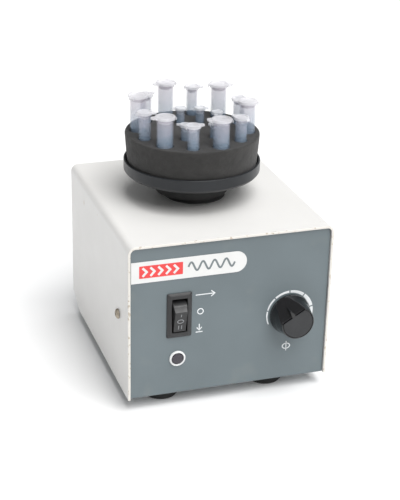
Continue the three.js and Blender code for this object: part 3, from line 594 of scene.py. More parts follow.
WHITE_PAINT = white_powder_coat()
GREY_PAINT = grey_panel_paint()
FOAM = closed_cell_foam()
# The first colour of each is painted shade near the dark foam, the second the lit colour higher up.
TUBE_BODY = natural_polypropylene("tube_polypropylene", (0.38, 0.49, 0.62), (0.76, 0.71, 0.79), 0.27)
TUBE_LID = natural_polypropylene("lid_polypropylene", (0.72, 0.75, 0.79), (0.84, 0.83, 0.86), 0.50)
LAMP_LENS = lamp_lens_plastic()
KNOB_GLOSS = grained("black_gloss_plastic", (0.006, 0.006, 0.007), (0.12, 0.2),
                     Specular_IOR_Level=0.5, Coat_Weight=0.35)
KNOB_FACE = grained("dark_grey_insert", (0.026, 0.027, 0.029), (0.55, 0.66), 0.3)
SWITCH_BLACK = grained("switch_nylon", (0.024, 0.024, 0.025), (0.36, 0.48), 0.35, 0.03)
TRAY_GREY = grained("tray_plastic", (0.018, 0.020, 0.023), (0.3, 0.4), 0.6, Specular_IOR_Level=0.35)
SKIRT_BLACK = grained("skirt_rubber", (0.015, 0.015, 0.015), (0.55, 0.7), 0.5, 0.04)
FOOT_BLACK = grained("foot_rubber", (0.012, 0.012, 0.012), (0.7, 0.85), 0.6, 0.05)
WHITE_PLASTIC = grained("white_nylon", (0.74, 0.75, 0.75), (0.3, 0.42), mottle=0.03)
WHITE_FILM = grained("white_label_film", (0.74, 0.74, 0.73), (0.38, 0.48), mottle=0.02)
WHITE_INK = grained("white_ink", (0.78, 0.80, 0.81), (0.4, 0.5), 0.3, mottle=0.06)
DULL_INK = grained("worn_white_ink", (0.27, 0.28, 0.29), (0.4, 0.5), 0.3, mottle=0.2)
RED_INK = grained("red_ink", (0.76, 0.055, 0.055), (0.4, 0.5), 0.3, mottle=0.05)
GREY_INK = grained("grey_ink", (0.17, 0.20, 0.21), (0.4, 0.5), 0.3, mottle=0.06)
ZINC = turned_metal("yellowed_zinc", (0.42, 0.37, 0.30), (0.4, 0.6))
STEEL = turned_metal("plain_steel", (0.5, 0.5, 0.51), (0.28, 0.45))
ALUMINIUM = turned_metal("machined_aluminium", (0.62, 0.63, 0.64), (0.3, 0.45))
MOTOR_LACQUER = grained("motor_lacquer", (0.10, 0.11, 0.12), (0.4, 0.55), metallic=0.6)
BOARD_GREEN = grained("solder_mask", (0.025, 0.12, 0.05), (0.25, 0.4), mottle=0.15)


# ---------- case


def cover_arch(inset, radius):
    """The cover seen from the front, from its left lower edge over the top to the right."""
    x, top = CASE_HIGH.x - inset, CASE_HIGH.z - inset
    corners = [(-x, CASE_LOW.z, 0), (-x, top, radius), (x, top, radius), (x, CASE_LOW.z, 0)]
    return filleted(corners, steps=12, closed=False)


def rear_corner():
    """A prism, across X, over the sloping lower rear corner of the case."""
    y, z = CASE_HIGH.y, CASE_LOW.z
    outline = [(y - REAR_SLOPE, z), (y, z + REAR_RISE), (y + 1, z + REAR_RISE), (y + 1, z - 1),
               (y - REAR_SLOPE, z - 1)]
    return moved(slab(outline, -THROUGH, THROUGH), turn=RIGHT)


def top_cover():
    """A sheet bent over the top and both sides, with a lip at the rear."""
    bend = sheet(cover_arch(0, COVER_BEND), cover_arch(COVER_SHEET, COVER_BEND - COVER_SHEET),
                 -CASE_HIGH.y, -CASE_LOW.y)
    inner = CASE_HIGH.x - COVER_BEND
    back, top = CASE_HIGH.y, CASE_HIGH.z
    lip = block(-inner, inner, back - COVER_SHEET, back, top - 4, top - COVER_SHEET / 2)
    hole = moved(rod(radius_of("rubber_boot") - 3.1, top - 9, top + 9, 72), DRIVE)
    screw = middle("cover_screw_left")
    screws = moved(rod(2.3, -THROUGH, THROUGH), (0, screw.y, screw.z), RIGHT)
    solid = cut(join(moved(bend, turn=FRONT), lip), hole, screws, rear_corner())
    stand_in("top_cover", solid, WHITE_PAINT, edge=0.3, segments=3)


def chassis():
    """One bent sheet: front panel, floor, sloping corner and rear panel."""
    low, high = box("chassis")
    path = [(PANEL_Y, high.z, 0), (PANEL_Y, low.z, 1.6),
            (REAR_PANEL_Y - REAR_SLOPE + CLEARANCE, low.z, 3),
            (REAR_PANEL_Y, low.z + REAR_RISE, 3), (REAR_PANEL_Y, high.z, 0)]
    outer = filleted(path, steps=6, closed=False)
    inner = []
    for before, here, after in neighbours(outer):
        along = (after - before).normalized()
        inner.append(here + Vector((-along.y, along.x)) * CHASSIS_SHEET)
    bent = moved(sheet(outer, inner, -high.x, high.x), turn=RIGHT)
    bend = COVER_BEND - COVER_SHEET
    arch = [(-high.x, low.z - 1, 0), (high.x, low.z - 1, 0), (high.x, high.z, bend),
            (-high.x, high.z, bend)]
    depth = REAR_PANEL_Y - PANEL_Y
    inside = moved(slab(filleted(arch, 8), -depth, depth), turn=FRONT)
    solid = cut(combined(bent, [inside], "INTERSECT"), *panel_holes(), *rear_holes())
    stand_in("chassis", solid, GREY_PAINT, edge=0.2)


def panel_holes():
    """Openings for the switch, the lamp and the speed control."""
    lap = 1.5
    size = highest("switch_body") - lowest("switch_body")
    switch = slab(rounded_rectangle(size.x / 2 - lap, size.z / 2 - lap, 1), -5, 5)
    return [moved(switch, SWITCH, FRONT), moved(rod(5.1, -5, 5), LAMP, FRONT),
            moved(rod(4.5, -5, 5), KNOB, FRONT)]


def rear_holes():
    """Openings for the inlet and the fuse, and five air slots."""
    opening = slab(rounded_rectangle(13.8, 10.3, 1), -4, 4)
    holes = [moved(opening, INLET, REAR), moved(rod(6.6, -4, 4), FUSE, REAR)]
    lowest_slot, pitch = 71.25, 7
    for row in range(5):
        slot = slab(rounded_rectangle(25, 1.25, 1.2), -4, 4)
        holes.append(moved(slot, (0, REAR_PANEL_Y, lowest_slot + row * pitch), REAR))
    return holes


def foot(node):
    high = highest(node).z
    radius = radius_of(node)
    top = CASE_LOW.z - CLEARANCE
    corners = [(0, 0.6), (6, 0.6, 0.3), (6.6, 0, 0.3), (radius - 1.5, 0, 1), (radius, 2, 1),
               (radius, top, 1), (3, top), (3, high - 4), (4.2, high - 2.8, 0.3),
               (2, high, 0.5), (0, high)]
    stand_in(node, turned(corners, 48), FOOT_BLACK, floor_point(node))


def cover_screw(node, facing):
    """A pan-head screw with a cross recess; its head stands on the cover's side."""
    side = 1 if facing is RIGHT else -1
    head, shank = 3.4, 1.5
    body = turned([(0, 1.8), (head * 0.55, 1.8, 1), (head * 0.93, 1.1, 0.6), (head, 0),
                   (shank, 0), (shank, -7.4, 0.3), (0, -8)], 40)
    arms = [block(-a, a, -b, b, 0.75, 3) for a, b in ((1.75, 0.42), (0.42, 1.75))]
    place = middle(node)
    at = Vector((side * (CASE_HIGH.x + CLEARANCE), place.y, place.z))
    stand_in(node, cut(body, *arms), ZINC, at, facing, edge=0.08)


def build_case():
    top_cover()
    chassis()
    for place in ("front_left", "front_right", "rear_left", "rear_right"):
        foot("foot_" + place)
    cover_screw("cover_screw_left", LEFT)
    cover_screw("cover_screw_right", RIGHT)


# ---------- front panel

INK = 0.08  # thickness of a printed layer


def printed(name, host, look, at, *solids):
    """A printed mark that lies on the front panel or on something mounted there."""
    trim(name, host, together(*solids), look, at, FRONT)


def loop(width, height, line, steps=32):
    """A printed oval ring from its half width and half height."""
    points = [(width * p.x, height * p.y) for p in arc(1, 0, 360, steps)[:-1]]
    return ribbon(points, line, INK, closed=True)


def name_plate():
    """A white strip, square at the left and round at the right, with generic marks on it."""
    low, high = box("name_plate")
    half = (high.z - low.z) / 2
    centre = Vector((0, PANEL_Y, (low.z + high.z) / 2))
    outline = [Vector((low.x, half)), Vector((low.x, -half))]
    outline += [p + Vector((high.x - half, 0)) for p in arc(half, -90, 90, 32)]
    film = 0.4
    stand_in("name_plate", slab(outline, 0.1, film), WHITE_FILM, centre, FRONT, edge=0.06)
    badge(centre + Vector((low.x + 19.5, -film, 0.2)))
    wave_mark(centre + Vector((low.x + 52.9, -film, 0.4)))


def badge(at):
    """A red block with white chevrons."""
    printed("badge_block", "name_plate", RED_INK, at, slab(rounded_rectangle(14.3, 4.2, 0.5), 0, INK))
    chevrons = []
    for i in range(5):
        left = i * 5.1 - 12.1
        chevrons.append(ribbon([(left, -2.9), (left + 2.7, 0), (left, 2.9)], 1.5, INK))
    printed("badge_chevrons", "name_plate", WHITE_FILM, at - Vector((0, INK, 0)), *chevrons)


def wave_mark(at):
    """A grey wave, for the swirling motion."""
    length, swing, steps = 31, 2.9, 72
    points = [((k / steps - 0.5) * length, swing * math.sin(8 * math.pi * k / steps))
              for k in range(steps + 1)]
    printed("wave_mark", "name_plate", GREY_INK, at, ribbon(points, 1.25, INK))


def switch_marks():
    """Signs beside the three positions: run on, off, and run while pressed."""
    line = 0.62

    def strokes(*paths):
        return [ribbon(path, line, INK) for path in paths]

    arrow = strokes([(0, 0), (12.4, 0)], [(10.4, 2), (12.9, 0), (10.4, -2)])
    press = strokes([(0, 2.9), (0, -1.2)], [(-1.7, 0.5), (0, -1.5), (1.7, 0.5)],
                    [(-2.3, -2.8), (2.3, -2.8)])
    signs = (("run", arrow, 11, 12.5), ("off", [loop(1.9, 1.9, line)], 14.4, 0.6),
             ("press", press, 13.8, -11.3))
    for name, solids, right, rise in signs:
        printed("sign_" + name, "switch_body", WHITE_INK, SWITCH + Vector((right, 0, rise)), *solids)


DIAL_RADIUS = 16.4
DIAL_STEPS = (205, 168, 132, 92, 52, 12, -17)  # degrees, going clockwise to full speed


def dial_width(angle):
    share = (DIAL_STEPS[0] - angle) / (DIAL_STEPS[0] - DIAL_STEPS[-1])
    return 0.75 + 2.55 * share ** 1.5


def dial_scale():
    """Six arcs round the knob that widen towards full speed."""
    arcs = []
    gap, count = 1.6, 12
    for start, stop in zip(DIAL_STEPS, DIAL_STEPS[1:]):
        start, stop = start - gap, stop + gap
        outer = arc(DIAL_RADIUS, start, stop, count)
        angles = [start + (stop - start) * k / count for k in range(count + 1)]
        inner = [direction(a) * (DIAL_RADIUS - dial_width(a)) for a in angles]
        arcs.append(sheet(outer, inner, 0, INK))
    printed("dial_scale", "chassis", WHITE_INK, KNOB + Vector((0.2, 0, 0.2)), *arcs)


def switch_body():
    """A bezel with a deep well for the rocker, the body behind the panel and three blades."""
    low, high = box("switch_body")
    width, height = (high.x - low.x) / 2, (high.z - low.z) / 2
    well, well_height, cavity = 5.1, 11.85, 13.3
    # half width, half height, corner radius, height above the panel
    sizes = [(width - 1.8, height - 1.8, 0.6, -24), (width - 1.8, height - 1.8, 0.6, 0.3),
             (width, height, 1, 0.3), (width, height, 1, 0.7),
             (width - 0.25, height - 0.25, 1, 1), (width - 1.5, height - 1.5, 0.8, 1.75),
             (width - 1.9, height - 1.9, 0.7, 1.9), (well + 0.5, well_height + 0.5, 0.7, 2),
             (well + 0.1, well_height + 0.1, 0.5, 1.8), (well, well_height, 0.4, 1.4),
             (well, well_height, 0.4, -0.5), (well, cavity, 0.4, -0.5), (well, cavity, 0.4, -12)]
    loops = [(rounded_rectangle(w, h, r), z) for w, h, r, z in sizes]
    blades = [block(-2.4, 2.4, y - 0.4, y + 0.4, -32, -23.8) for y in (-8, 0, 8)]
    stand_in("switch_body", together(lofted(loops), *blades), SWITCH_BLACK, SWITCH, FRONT)


ROCKER_TILT = 14  # degrees
PIVOT_DEPTH = 10  # of the rocker's axis behind the panel
FACE_HALF = 7.8  # half the height of the rocker's face


def face_reach(height):
    """How far the rocker's slightly hollow face stands out from its axis."""
    middle_reach, hollow = 14.4, 0.35
    share = height / FACE_HALF
    return middle_reach - hollow * (1 - share * share)


def rocker():
    """The rocker is built level about its axis and then tipped, with its lower end pressed."""
    face = [Vector((face_reach(height), height))
            for height in (FACE_HALF * (k / 6 - 1) for k in range(13))]
    wall = [direction(angle) * reach for reach, angle in ((15.15, 36), (15.1, 41), (14.9, 47))]
    upper = wall + [Vector((4, 11.5)), Vector((2.5, 6))]
    lower = [Vector((p.x, -p.y)) for p in reversed(upper)]
    half_width, taper = 4.8, 0.75
    bm = bmesh.new()
    rows = []
    for side in (-1, 1):
        row = []
        for out, height in face + upper + lower:
            lean = taper * max(0, (out - PIVOT_DEPTH) / (face_reach(FACE_HALF) - PIVOT_DEPTH))
            row.append(bm.verts.new((side * (half_width - lean), height, out)))
        rows.append(row)
    axis = SWITCH + Vector((0, PIVOT_DEPTH, 0))
    tipped = Matrix.Rotation(math.radians(ROCKER_TILT), 3, "X") @ FRONT
    stand_in("switch_rocker", skin(bm, rows), SWITCH_BLACK, axis, tipped, edge=0.35, segments=3)
    line = 0.5
    strokes = ([(0, 4.2), (0, 6.3)], [(-1, -5.9), (-1, -2.9)], [(1, -5.9), (1, -2.9)])
    marks = [ribbon(path, line, INK) for path in strokes]
    marks.append(moved(loop(2, 1.4, line, 28), (0, 0.4, 0)))
    for vertex in (v for mark in marks for v in mark.verts):
        vertex.co.z += face_reach(vertex.co.y) - INK / 4
    trim("rocker_marks", "switch_rocker", together(*marks), DULL_INK, axis, tipped)


def lamp():
    radius = radius_of("lamp_bezel")
    bore, barrel = 4.2, 4.8
    bezel = turned([(bore, -10), (barrel, -10), (barrel, 0.1), (radius, 0.1), (radius, 0.9, 0.4),
                    (radius - 0.6, 1.3, 0.2), (bore, 1.25, 0.15)], 64)
    stand_in("lamp_bezel", bezel, WHITE_PLASTIC, LAMP, FRONT)
    lens = turned([(0, -14), (3, -14, 0.5), (4, -10.5, 0.5), (4, 0.6, 0.3), (3.2, 1, 0.4),
                   (0, 1.3)], 48)
    stand_in("lamp_lens", lens, LAMP_LENS, LAMP, FRONT)


KNOB_ANGLE = 121  # the pointer's direction in degrees, counter-clockwise from +X
KNOB_CHORD = 5.6  # from the axis to where the slope starts
KNOB_TOP = 16  # above the panel
KNOB_CAP = 11  # radius


def knob():
    """A skirted knob. One side of its cap slopes away, with a rib on the slope as the pointer."""
    radius = radius_of("knob")
    rim, seat, fall = KNOB_TOP - 0.3, KNOB_TOP - 1.3, 9
    bore, sleeve = 3.3, 12.3
    body = turned([(8, 0.6, 0.2), (radius, 0.6, 0.3), (radius, 2.6, 0.8), (KNOB_CAP + 1.7, 6.5, 3),
                   (KNOB_CAP, rim, 0.4), (KNOB_CAP - 0.7, rim, 0.15), (KNOB_CAP - 0.7, seat),
                   (0, seat), (0, sleeve), (bore, sleeve), (bore, 5), (8, 5)], 96)
    drop = fall * (radius - KNOB_CHORD) / (KNOB_CAP - KNOB_CHORD)
    slope = [(KNOB_CHORD, KNOB_TOP), (radius, KNOB_TOP - drop), (radius + 1, KNOB_TOP - drop),
             (radius + 1, KNOB_TOP + 2), (KNOB_CHORD, KNOB_TOP + 2)]
    wedge = moved(slab(slope, -15, 15), turn=FRONT)
    near, far = KNOB_CHORD - 0.2, KNOB_CAP - 0.5
    rib = slab([(near, -1.5), (far, -0.35), (far, 0.35), (near, 1.5)], rim - fall, rim)
    solid = spun(join(cut(body, wedge), rib), KNOB_ANGLE)
    stand_in("knob", solid, KNOB_GLOSS, KNOB, FRONT, edge=0.15)
    insert = KNOB_CAP - 1
    opening = math.degrees(math.acos((KNOB_CHORD - 0.1) / insert))
    face = slab(arc(insert, opening, 360 - opening, 60), KNOB_TOP - 1, KNOB_TOP - 0.2)
    stand_in("knob_cap", spun(face, KNOB_ANGLE), KNOB_FACE, KNOB, FRONT, edge=0.12)


def speed_symbol():
    """A ring with a line through it, the sign for turning speed."""
    printed("speed_symbol", "chassis", WHITE_INK, KNOB + Vector((-1.2, 0, -24)),
            loop(2.6, 1.9, 0.75), ribbon([(0, -3.5), (0, 3.5)], 0.65, INK))


def speed_control():
    """The potentiometer, its nut and shaft, and the circuit board behind them."""
    pot = turned([(0, -12), (8.5, -12, 0.6), (8.5, -1.5, 0.4), (4.2, -1.5), (4.2, 4.4, 0.3),
                  (3.3, 4.4), (3.3, -8.3), (0, -8.3)], 40)
    stand_in("speed_pot", pot, ALUMINIUM, KNOB, FRONT)
    hexagon = [direction(60 * k) * 6.8 for k in range(6)]
    nut = cut(slab(hexagon, CLEARANCE, 2.5), rod(4.5, 0, 3))
    stand_in("pot_nut", nut, STEEL, KNOB, FRONT, edge=0.2)
    stand_in("pot_shaft", rod(3, -8, 12, 32, 0.3, 0.5), ALUMINIUM, KNOB, FRONT)
    plate = block(-21, 19, -24, 34, -13.9, -12.3)
    leads = [block(x - 0.5, x + 0.5, -11, -9.2, -12.4, -8.3) for x in (-5, 0, 5)]
    heat_sink = block(-18, 2, 12, 30, -16.9, -13.8)
    fins = [block(x, x + 2, 12, 30, -27.9, -15.9) for x in (-18, -12, -6, 0)]
    can = moved(rod(6, -13.8, -29.9, 32, fillet1=0.8), (10, -12, 0))
    board = together(plate, *leads, heat_sink, *fins, can)
    stand_in("speed_board", board, BOARD_GREEN, KNOB, FRONT, edge=0.15)


def build_front_panel():
    name_plate()
    switch_marks()
    switch_body()
    rocker()
    lamp()
    knob()
    dial_scale()
    speed_symbol()
    speed_control()


# ---------- rear panel


def inlet_cavity(extra):
    """The outline of the inlet's hollow, with two cut corners, made larger by `extra`."""
    half_width, half_height, corner = 11.7 + extra, 8.2 + extra, 4
    right = [(half_width - corner, -half_height, 1), (half_width, -half_height + corner, 1),
             (half_width, half_height, 1)]
    left = [(-x, y, radius) for x, y, radius in reversed(right)]
    return filleted(right + left, 5)


def inlet_socket():
    """A three-pin mains inlet."""
    flange = [(rounded_rectangle(16.5, 12, 2), z) for z in (0.3, 1.9)]
    flange.append((rounded_rectangle(16.1, 11.6, 2), 2.3))
    shroud = slab(rounded_rectangle(13.5, 10, 1.5), -18, 0.5)
    hollow = lofted([(inlet_cavity(0), -15), (inlet_cavity(0), 1.9), (inlet_cavity(0.5), 3)])
    pins = [moved(slab(rounded_rectangle(1, 2, 0.4), -16, -2), (x, y, 0))
            for x, y in ((-7, 2), (7, 2), (0, -2.5))]
    solid = join(cut(join(lofted(flange), shroud), hollow), *pins)
    stand_in("inlet_socket", solid, SWITCH_BLACK, INLET, REAR, edge=0.15)


def fuse():
    holder = turned([(0, -32), (6.3, -32, 0.6), (6.3, 0.3), (8.5, 0.3), (8.5, 1.9, 0.5),
                     (4.6, 2.1), (4.6, -27), (0, -27)], 48)
    stand_in("fuse_holder", holder, SWITCH_BLACK, FUSE, REAR)
    cap = turned([(0, -20), (4.3, -20, 0.5), (4.3, 2.4), (7, 2.4, 0.2), (7, 6.8, 0.8), (0, 6.8)], 64)
    slot = block(-4.5, 4.5, -0.6, 0.6, 5.6, 8)
    grips = [moved(rod(0.45, 3.2, 8, 12), direction(15 * k).to_3d() * 7.2) for k in range(24)]
    stand_in("fuse_cap", cut(cap, slot, *grips), SWITCH_BLACK, FUSE, REAR)


# ---------- sprung motor

MOTOR_RADIUS = 25
SHAFT_HOLE = 3.6  # radius


def motor():
    low, high = heights("motor_plate")
    posts = [floor_point(f"guide_post_{i}") - DRIVE for i in (1, 2, 3)]
    holes = [moved(rod(2.5, -5, 5), post + Vector((0, 0, low))) for post in posts]
    disc = ring(SHAFT_HOLE, radius_of("motor_plate"), low, high, segments=96)
    stand_in("motor_plate", cut(disc, *holes), STEEL, DRIVE, edge=0.3)
    motor_housing()
    tip, top = heights("motor_end_cap")
    cap = [(0, tip), (3, tip, 0.6), (3, tip + 5.2, 0.5), (23, tip + 5.2, 0.8),
           (MOTOR_RADIUS, tip + 7.2, 0.6), (MOTOR_RADIUS, top), (3.3, top), (3.3, top - 2.7),
           (0, top - 2.7)]
    stand_in("motor_end_cap", turned(cap, 72), ALUMINIUM, DRIVE)
    low, high = heights("motor_rotor")
    drum_low, drum_high = lowest("motor_housing").z + 5, highest("motor_housing").z - 9
    shaft, drum = 3, 15
    rotor = [(0, low), (shaft, low, 0.3), (shaft, drum_low), (drum, drum_low, 0.5),
             (drum, drum_high, 0.5), (shaft, drum_high), (shaft, high, 0.4), (0, high)]
    stand_in("motor_rotor", turned(rotor, 64), STEEL, DRIVE)


def motor_housing():
    """A can with nine grooves round it."""
    low, high = heights("motor_housing")
    inner, end, grooves = 15.6, 5.7, 9
    shell = [(inner, low, 0.3), (MOTOR_RADIUS, low, 0.6)]
    for i in range(grooves):
        z = low + (high - low) * (i + 1) / (grooves + 1)
        shell += [(MOTOR_RADIUS, z - 0.5, 0.2), (MOTOR_RADIUS - 0.5, z, 0.2),
                  (MOTOR_RADIUS, z + 0.5, 0.2)]
    shell += [(MOTOR_RADIUS, high, 1.5), (SHAFT_HOLE, high), (SHAFT_HOLE, high - end),
              (inner, high - end)]
    stand_in("motor_housing", turned(shell, 72, 3), MOTOR_LACQUER, DRIVE)


def crank():
    """A counterweighted disc with an eccentric pin away from the weight."""
    low, high = heights("crank")
    top = low + 8
    orbit = HEAD - DRIVE
    half = block(-18, 0, -18, 18, low - 1, top + 1)
    weight = combined(rod(16, low, top, 72), [half], "INTERSECT")
    pin = moved(rod(4, top - 1, high, 40), (orbit.length, 0, 0))
    boss = rod(8, low + 0.2, top + 0.25)
    solid = cut(join(weight, boss, pin), rod(3.3, low - 1, low + 6.5))
    solid = spun(solid, math.degrees(math.atan2(orbit.y, orbit.x)))
    stand_in("crank", solid, STEEL, DRIVE, edge=0.1)


def shorten(piece):
    """Gives a piece its own copy of its mesh."""
    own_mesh(piece)


def mount(i):
    """A guide post and the coil spring round its pin."""
    post, spring = f"guide_post_{i}", f"mount_spring_{i}"
    at = floor_point(post)
    low, high = heights(post)
    bottom, top = heights(spring)
    shoulder, neck = bottom - CLEARANCE, high - 2
    body = turned([(0, low), (6, low, 0.4), (6, low + 2.7, 0.5), (4.8, low + 3.7),
                   (4.8, shoulder, 0.3), (2, shoulder), (2, neck), (3.6, neck, 0.2),
                   (3.6, high, 0.5), (0, high)], 40)
    stand_in(post, body, STEEL, at)
    wire, coil_radius, turns = 0.6, 4.2, 4
    steps = 24 * turns
    rise = (top - bottom - 2 * wire) / steps
    points = [Vector((*(direction(360 * turns * k / steps) * coil_radius), bottom + wire + rise * k))
              for k in range(steps + 1)]
    shorten(stand_in(spring, swept(points, wire), STEEL, at))


def touch_switch():
    low, high = box("touch_switch")
    button_low, button_top = heights("touch_switch_button")
    outline = rounded_rectangle((high.x - low.x) / 2, (high.y - low.y) / 2, 0.5)
    travel = 2.5
    bore = rod(2.1, button_low - travel - CLEARANCE, high.z + 1)
    at = floor_point("touch_switch")
    stand_in("touch_switch", cut(slab(outline, low.z, high.z), bore), SWITCH_BLACK, at, edge=0.25)
    button = rod(1.8, button_low, button_top, 32, 0.2, 0.6)
    stand_in("touch_switch_button", button, WHITE_PLASTIC, at)


def build_motor():
    motor()
    crank()
    for i in (1, 2, 3):
        mount(i)
    touch_switch()


# ---------- orbiting head


def rubber_boot():
    """A folded boot between the cover and the hub."""
    low, high = heights("rubber_boot")
    fold, wall, count = 1.2, 1.1, 24
    outside = []
    for k in range(count + 1):
        radius = radius_of("rubber_boot") - fold * (0.5 - 0.5 * math.cos(4 * math.pi * k / count))
        outside.append((radius, low + (high - low) * k / count))
    inside = [(radius - wall, z) for radius, z in reversed(outside)]
    boot = stand_in("rubber_boot", turned(outside + inside, 72), SKIRT_BLACK, DRIVE)
    shorten(boot)


def head_bearing():
    """An inner and an outer ring with the closed cage between them."""
    low, high = heights("head_bearing")
    rings = (ring(4.3, 6.3, low, high, 0.3), ring(8.4, 10.7, low, high, 0.3),
             ring(6.2, 8.5, low + 0.5, high - 0.5))
    stand_in("head_bearing", together(*rings), STEEL, HEAD)


def head_hub():
    """The hub over the crank pin and its bearing, and the black skirt that hangs on its seat."""
    low, high = heights("head_hub")
    seat, bore, neck, flange = high - 3.4, 11, 14, 18
    pin_top = highest("crank").z + 1
    bearing_top = highest("head_bearing").z + CLEARANCE
    hub = [(0, pin_top), (5.2, pin_top), (5.2, bearing_top), (bore, bearing_top), (bore, low, 0.2),
           (neck, low, 0.4), (neck, seat - 3.4, 0.5), (flange, seat - 3.4, 0.4), (flange, seat, 0.4),
           (neck, seat), (neck, high, 0.4), (2.8, high), (2.8, high - 16), (0, high - 16)]
    stand_in("head_hub", turned(hub, 64), ALUMINIUM, HEAD)
    low, high = heights("head_skirt")
    radius = radius_of("head_skirt")
    inner, hole, ceiling = radius - 2.2, neck + CLEARANCE, seat + CLEARANCE
    skirt = turned([(inner, low, 0.5), (radius - 0.5, low, 0.9), (radius, high - 4, 1),
                    (radius, high, 0.6), (hole, high), (hole, ceiling), (inner, ceiling, 1)], 96)
    stand_in("head_skirt", skirt, SKIRT_BLACK, HEAD)


def tray():
    """The round tray that holds the rack, and the screw through its middle."""
    low, high = heights("tray")
    radius = radius_of("tray")
    hole, wall, floor_top = 3, 1.5, low + 2
    dish = turned([(hole, low, 0.3), (radius - 1.8, low, 2.2), (radius, low + 2.2, 1.4),
                   (radius, high, 0.5), (radius - wall, high, 0.5), (radius - wall, floor_top, 1),
                   (hole, floor_top, 0.3)], 128)
    stand_in("tray", dish, TRAY_GREY, HEAD)
    seat = floor_top + CLEARANCE
    body = turned([(0, seat - 16), (2.5, seat - 16, 0.4), (2.5, seat), (6, seat, 0.3),
                   (6, seat + 1.8, 0.6), (4.4, seat + 3, 1.2), (0, seat + 3)], 48)
    slot = block(-6.5, 6.5, -0.6, 0.6, seat + 1.8, seat + 4)
    stand_in("tray_screw", cut(body, slot), STEEL, HEAD, edge=0.15)


def build_head():
    rubber_boot()
    head_bearing()
    head_hub()
    tray()


# ---------- rack and tubes

# Radius, lowest point, start of the cone, top, radius of the lid and reach of the lid's tab for
# each kind of tube. Heights are from the top of the foam.
TUBE_KINDS = {
    "large": (5.4, -20.5, -3, 19, 6.7, 9.6),
    "medium": (3.95, -15, -2.5, 16.1, 5.1, 7.8),
    "small": (3, -10.4, -1, 10.6, 3.9, 6),
}
OUTER_RING = 36.3  # radius through the tubes' middles
OUTER_START = -137  # degrees
OUTER_TABS = (182, 8, 168, 120, 150, 60, -25, -15, 190, 30, 35, -20)
INNER_RING = 19
INNER_ANGLES = (-122, -58, 12, 57, 98)
INNER_TABS = (150, 20, 60, -10, 170)


def tube_places():
    """(node, kind, place, direction of the tab) for each tube."""
    places = []
    for i, tab in enumerate(OUTER_TABS):
        kind = ("large", "medium")[i % 2]
        spot = direction(OUTER_START + 30 * i) * OUTER_RING
        places.append((f"{kind}_tube_{i // 2 + 1}", kind, HEAD + spot.to_3d(), tab))
    for i, (angle, tab) in enumerate(zip(INNER_ANGLES, INNER_TABS)):
        spot = direction(angle) * INNER_RING
        places.append((f"small_tube_{i + 1}", "small", HEAD + spot.to_3d(), tab))
    return places


def foam_holes():
    holes = []
    for _, kind, place, _ in tube_places():
        radius, bottom, *_ = TUBE_KINDS[kind]
        hole = rod(radius + 0.12, FOAM_TOP + bottom - 0.4, FOAM_TOP + 3, 40)
        holes.append(moved(hole, place - HEAD))
    return holes


def roughen(obj, name, size, depth):
    """Pushes the surface in by up to `depth`, in hollows about `size` across."""
    texture = bpy.data.textures.new(name, "CLOUDS")
    texture.noise_scale = size * MM
    uneven = obj.modifiers.new(name, "DISPLACE")
    uneven.texture = texture
    uneven.texture_coords = "LOCAL"
    uneven.mid_level = 1.0
    uneven.strength = depth * MM


def foam_rack():
    """A thick foam disc with a hole for each tube. Its skin is finely meshed and uneven."""
    low, rim = lowest("foam_rack").z, highest("tray").z
    radius, hollow = radius_of("foam_rack") - 0.1, 8.5
    disc = turned([(0, low + 5), (hollow, low + 5), (hollow, low), (43.2, low, 1), (44.1, rim),
                   (radius, FOAM_TOP, 1.2), (0, FOAM_TOP)], 128)
    foam = stand_in("foam_rack", cut(disc, *foam_holes()), FOAM, HEAD)
    foam.modifiers.clear()
    skin = foam.modifiers.new("skin", "REMESH")
    skin.mode = "VOXEL"
    skin.voxel_size = 0.7 * MM
    skin.use_smooth_shade = True
    roughen(foam, "cells", 0.9, 0.35)
    roughen(foam, "waves", 7, 0.3)


def tube(node, kind, place, tab):
    """A thin-walled tube with a pointed end, and its lid with a tab and a folded hinge."""
    radius, point, cone, top, lid, reach = TUBE_KINDS[kind]
    inner = radius - (0.5 if kind == "small" else 0.75)
    tip, seal = radius * 0.4, top - 2
    collar, collar_top, collar_low = lid - 0.7, seal - 0.1, seal - 1.5
    body = turned([(0, point), (tip, point + 0.5, 0.6), (radius, cone, 2), (radius, collar_low, 0.3),
        (collar, collar_low + 0.4, 0.2), (collar, collar_top, 0.2), (inner, collar_top, 0.2),
        (inner, cone, 2), (tip - (radius - inner) / 2, point + 1.4, 0.4), (0, point + 1.3)], 32, 2)
    at = Vector((place.x, place.y, highest(node).z - top))
    stand_in(node, body, TUBE_BODY, at)
    plug = inner - 0.15
    disc = turned([(0, seal - 1.2), (plug - 0.8, seal - 1.2, 0.2), (plug - 0.8, seal - 2.6, 0.2),
        (plug, seal - 2.6, 0.2), (plug, seal, 0.1), (lid, seal, 0.35), (lid, top, 0.6),
        (lid * 0.74, top, 0.2), (lid * 0.7, top - 0.45, 0.2), (0, top - 0.3)], 40, 2)
    half, root = lid * 0.36, radius * 0.7
    tongue = filleted([(root, -half * 1.5, 0), (reach, -half * 0.8, half * 0.75),
                       (reach, half * 0.8, half * 0.75), (root, half * 1.5, 0)], 4)
    lip = slab(tongue, seal + 0.55, top - 0.55)
    strap = hinge_strap(0.4 - lid, half * 0.8, (collar_low + top) / 2)
    solid = spun(together(disc, lip, strap), tab)
    trim(node + "_lid", node, solid, TUBE_LID, at)


def hinge_strap(x, half_width, height):
    """The thin strap that joins lid and tube, folded into a loop on the side away from the tab."""
    loop_radius, thick, turn = 0.95, 0.4, 62
    outer, inner = ([Vector((x, 0)) - p for p in arc(radius, -turn, turn, 8)]
                    for radius in (loop_radius + thick / 2, loop_radius - thick / 2))
    return moved(slab(outer + inner[::-1], -half_width, half_width), (0, 0, height), FRONT)


def build_rack():
    foam_rack()
    for node, kind, place, tab in tube_places():
        tube(node, kind, place, tab)


# ---------- stage, light and camera


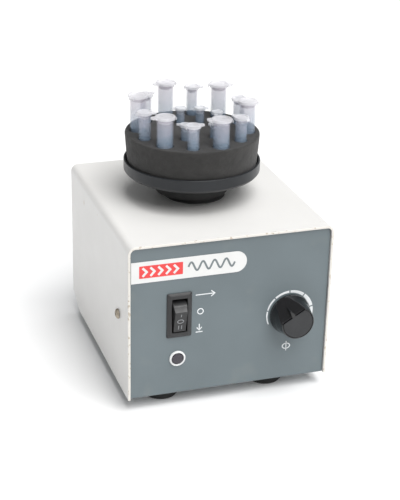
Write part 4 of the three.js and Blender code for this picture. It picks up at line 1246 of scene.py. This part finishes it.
def floor():
    size = 6000
    bm = bmesh.new()
    bm.faces.new([bm.verts.new((a * size, b * size, 0)) for a, b in
                  ((-1, -1), (1, -1), (1, 1), (-1, 1))])
    look = Look("studio_floor", roughness=0.8)
    look.set(Emission_Color=(1, 1, 1, 1), Emission_Strength=0.06)
    look.set(Base_Color=look.mottled((0.86, 0.86, 0.86), 200, 0.01))
    make("studio_floor", bm, look.material, (0, 0, 0), UP)


def sun(name, direction_to_light, softness, strength):
    """Even light from one side; softness is the width of the source in degrees."""
    light = bpy.data.lights.new(name, "SUN")
    light.energy = strength
    light.angle = math.radians(softness)
    obj = bpy.data.objects.new(name, light)
    bpy.context.scene.collection.objects.link(obj)
    obj.rotation_euler = Vector(direction_to_light).to_track_quat("Z", "Y").to_euler()


def studio_light():
    """A pale surround, soft key and top lights from the right, and a weak light on the front."""
    world = bpy.data.worlds.new("studio")
    bpy.context.scene.world = world
    world.use_nodes = True
    background = world.node_tree.nodes["Background"]
    background.inputs["Color"].default_value = (0.98, 0.99, 1.0, 1)
    background.inputs["Strength"].default_value = 0.27
    sun("key_light", (0.20, -0.62, 1.0), 46, 2.35)
    sun("top_light", (0.22, -0.05, 1.0), 50, 1.35)
    sun("front_fill", (0.30, -1.0, 0.42), 50, 0.35)


def camera():
    """A view from the front left and above, aimed a little above the middle of the case."""
    azimuth, elevation, roll = -18.66, 23.89, 1.29
    distance, aim_right, aim_up = 941.65, 4.97, 60.16
    steps = ((azimuth, "Z"), (90 - elevation, "X"), (roll, "Z"))
    turns = [Matrix.Rotation(math.radians(angle), 3, axis) for angle, axis in steps]
    turn = turns[0] @ turns[1] @ turns[2]
    data = bpy.data.cameras.new("camera")
    data.lens = 95.04
    data.sensor_width = 36
    obj = bpy.data.objects.new("camera", data)
    bpy.context.scene.collection.objects.link(obj)
    base = Vector((0, (CASE_LOW.y + CASE_HIGH.y) / 2, CASE_LOW.z))
    spot = base + turn @ Vector((aim_right, aim_up, distance))
    obj.matrix_world = Matrix.Translation(spot * MM) @ turn.to_4x4()
    bpy.context.scene.camera = obj


bpy.context.scene.view_settings.view_transform = "Standard"

build_case()
build_front_panel()
inlet_socket()
fuse()
build_motor()
build_head()
build_rack()
floor()
studio_light()
camera()
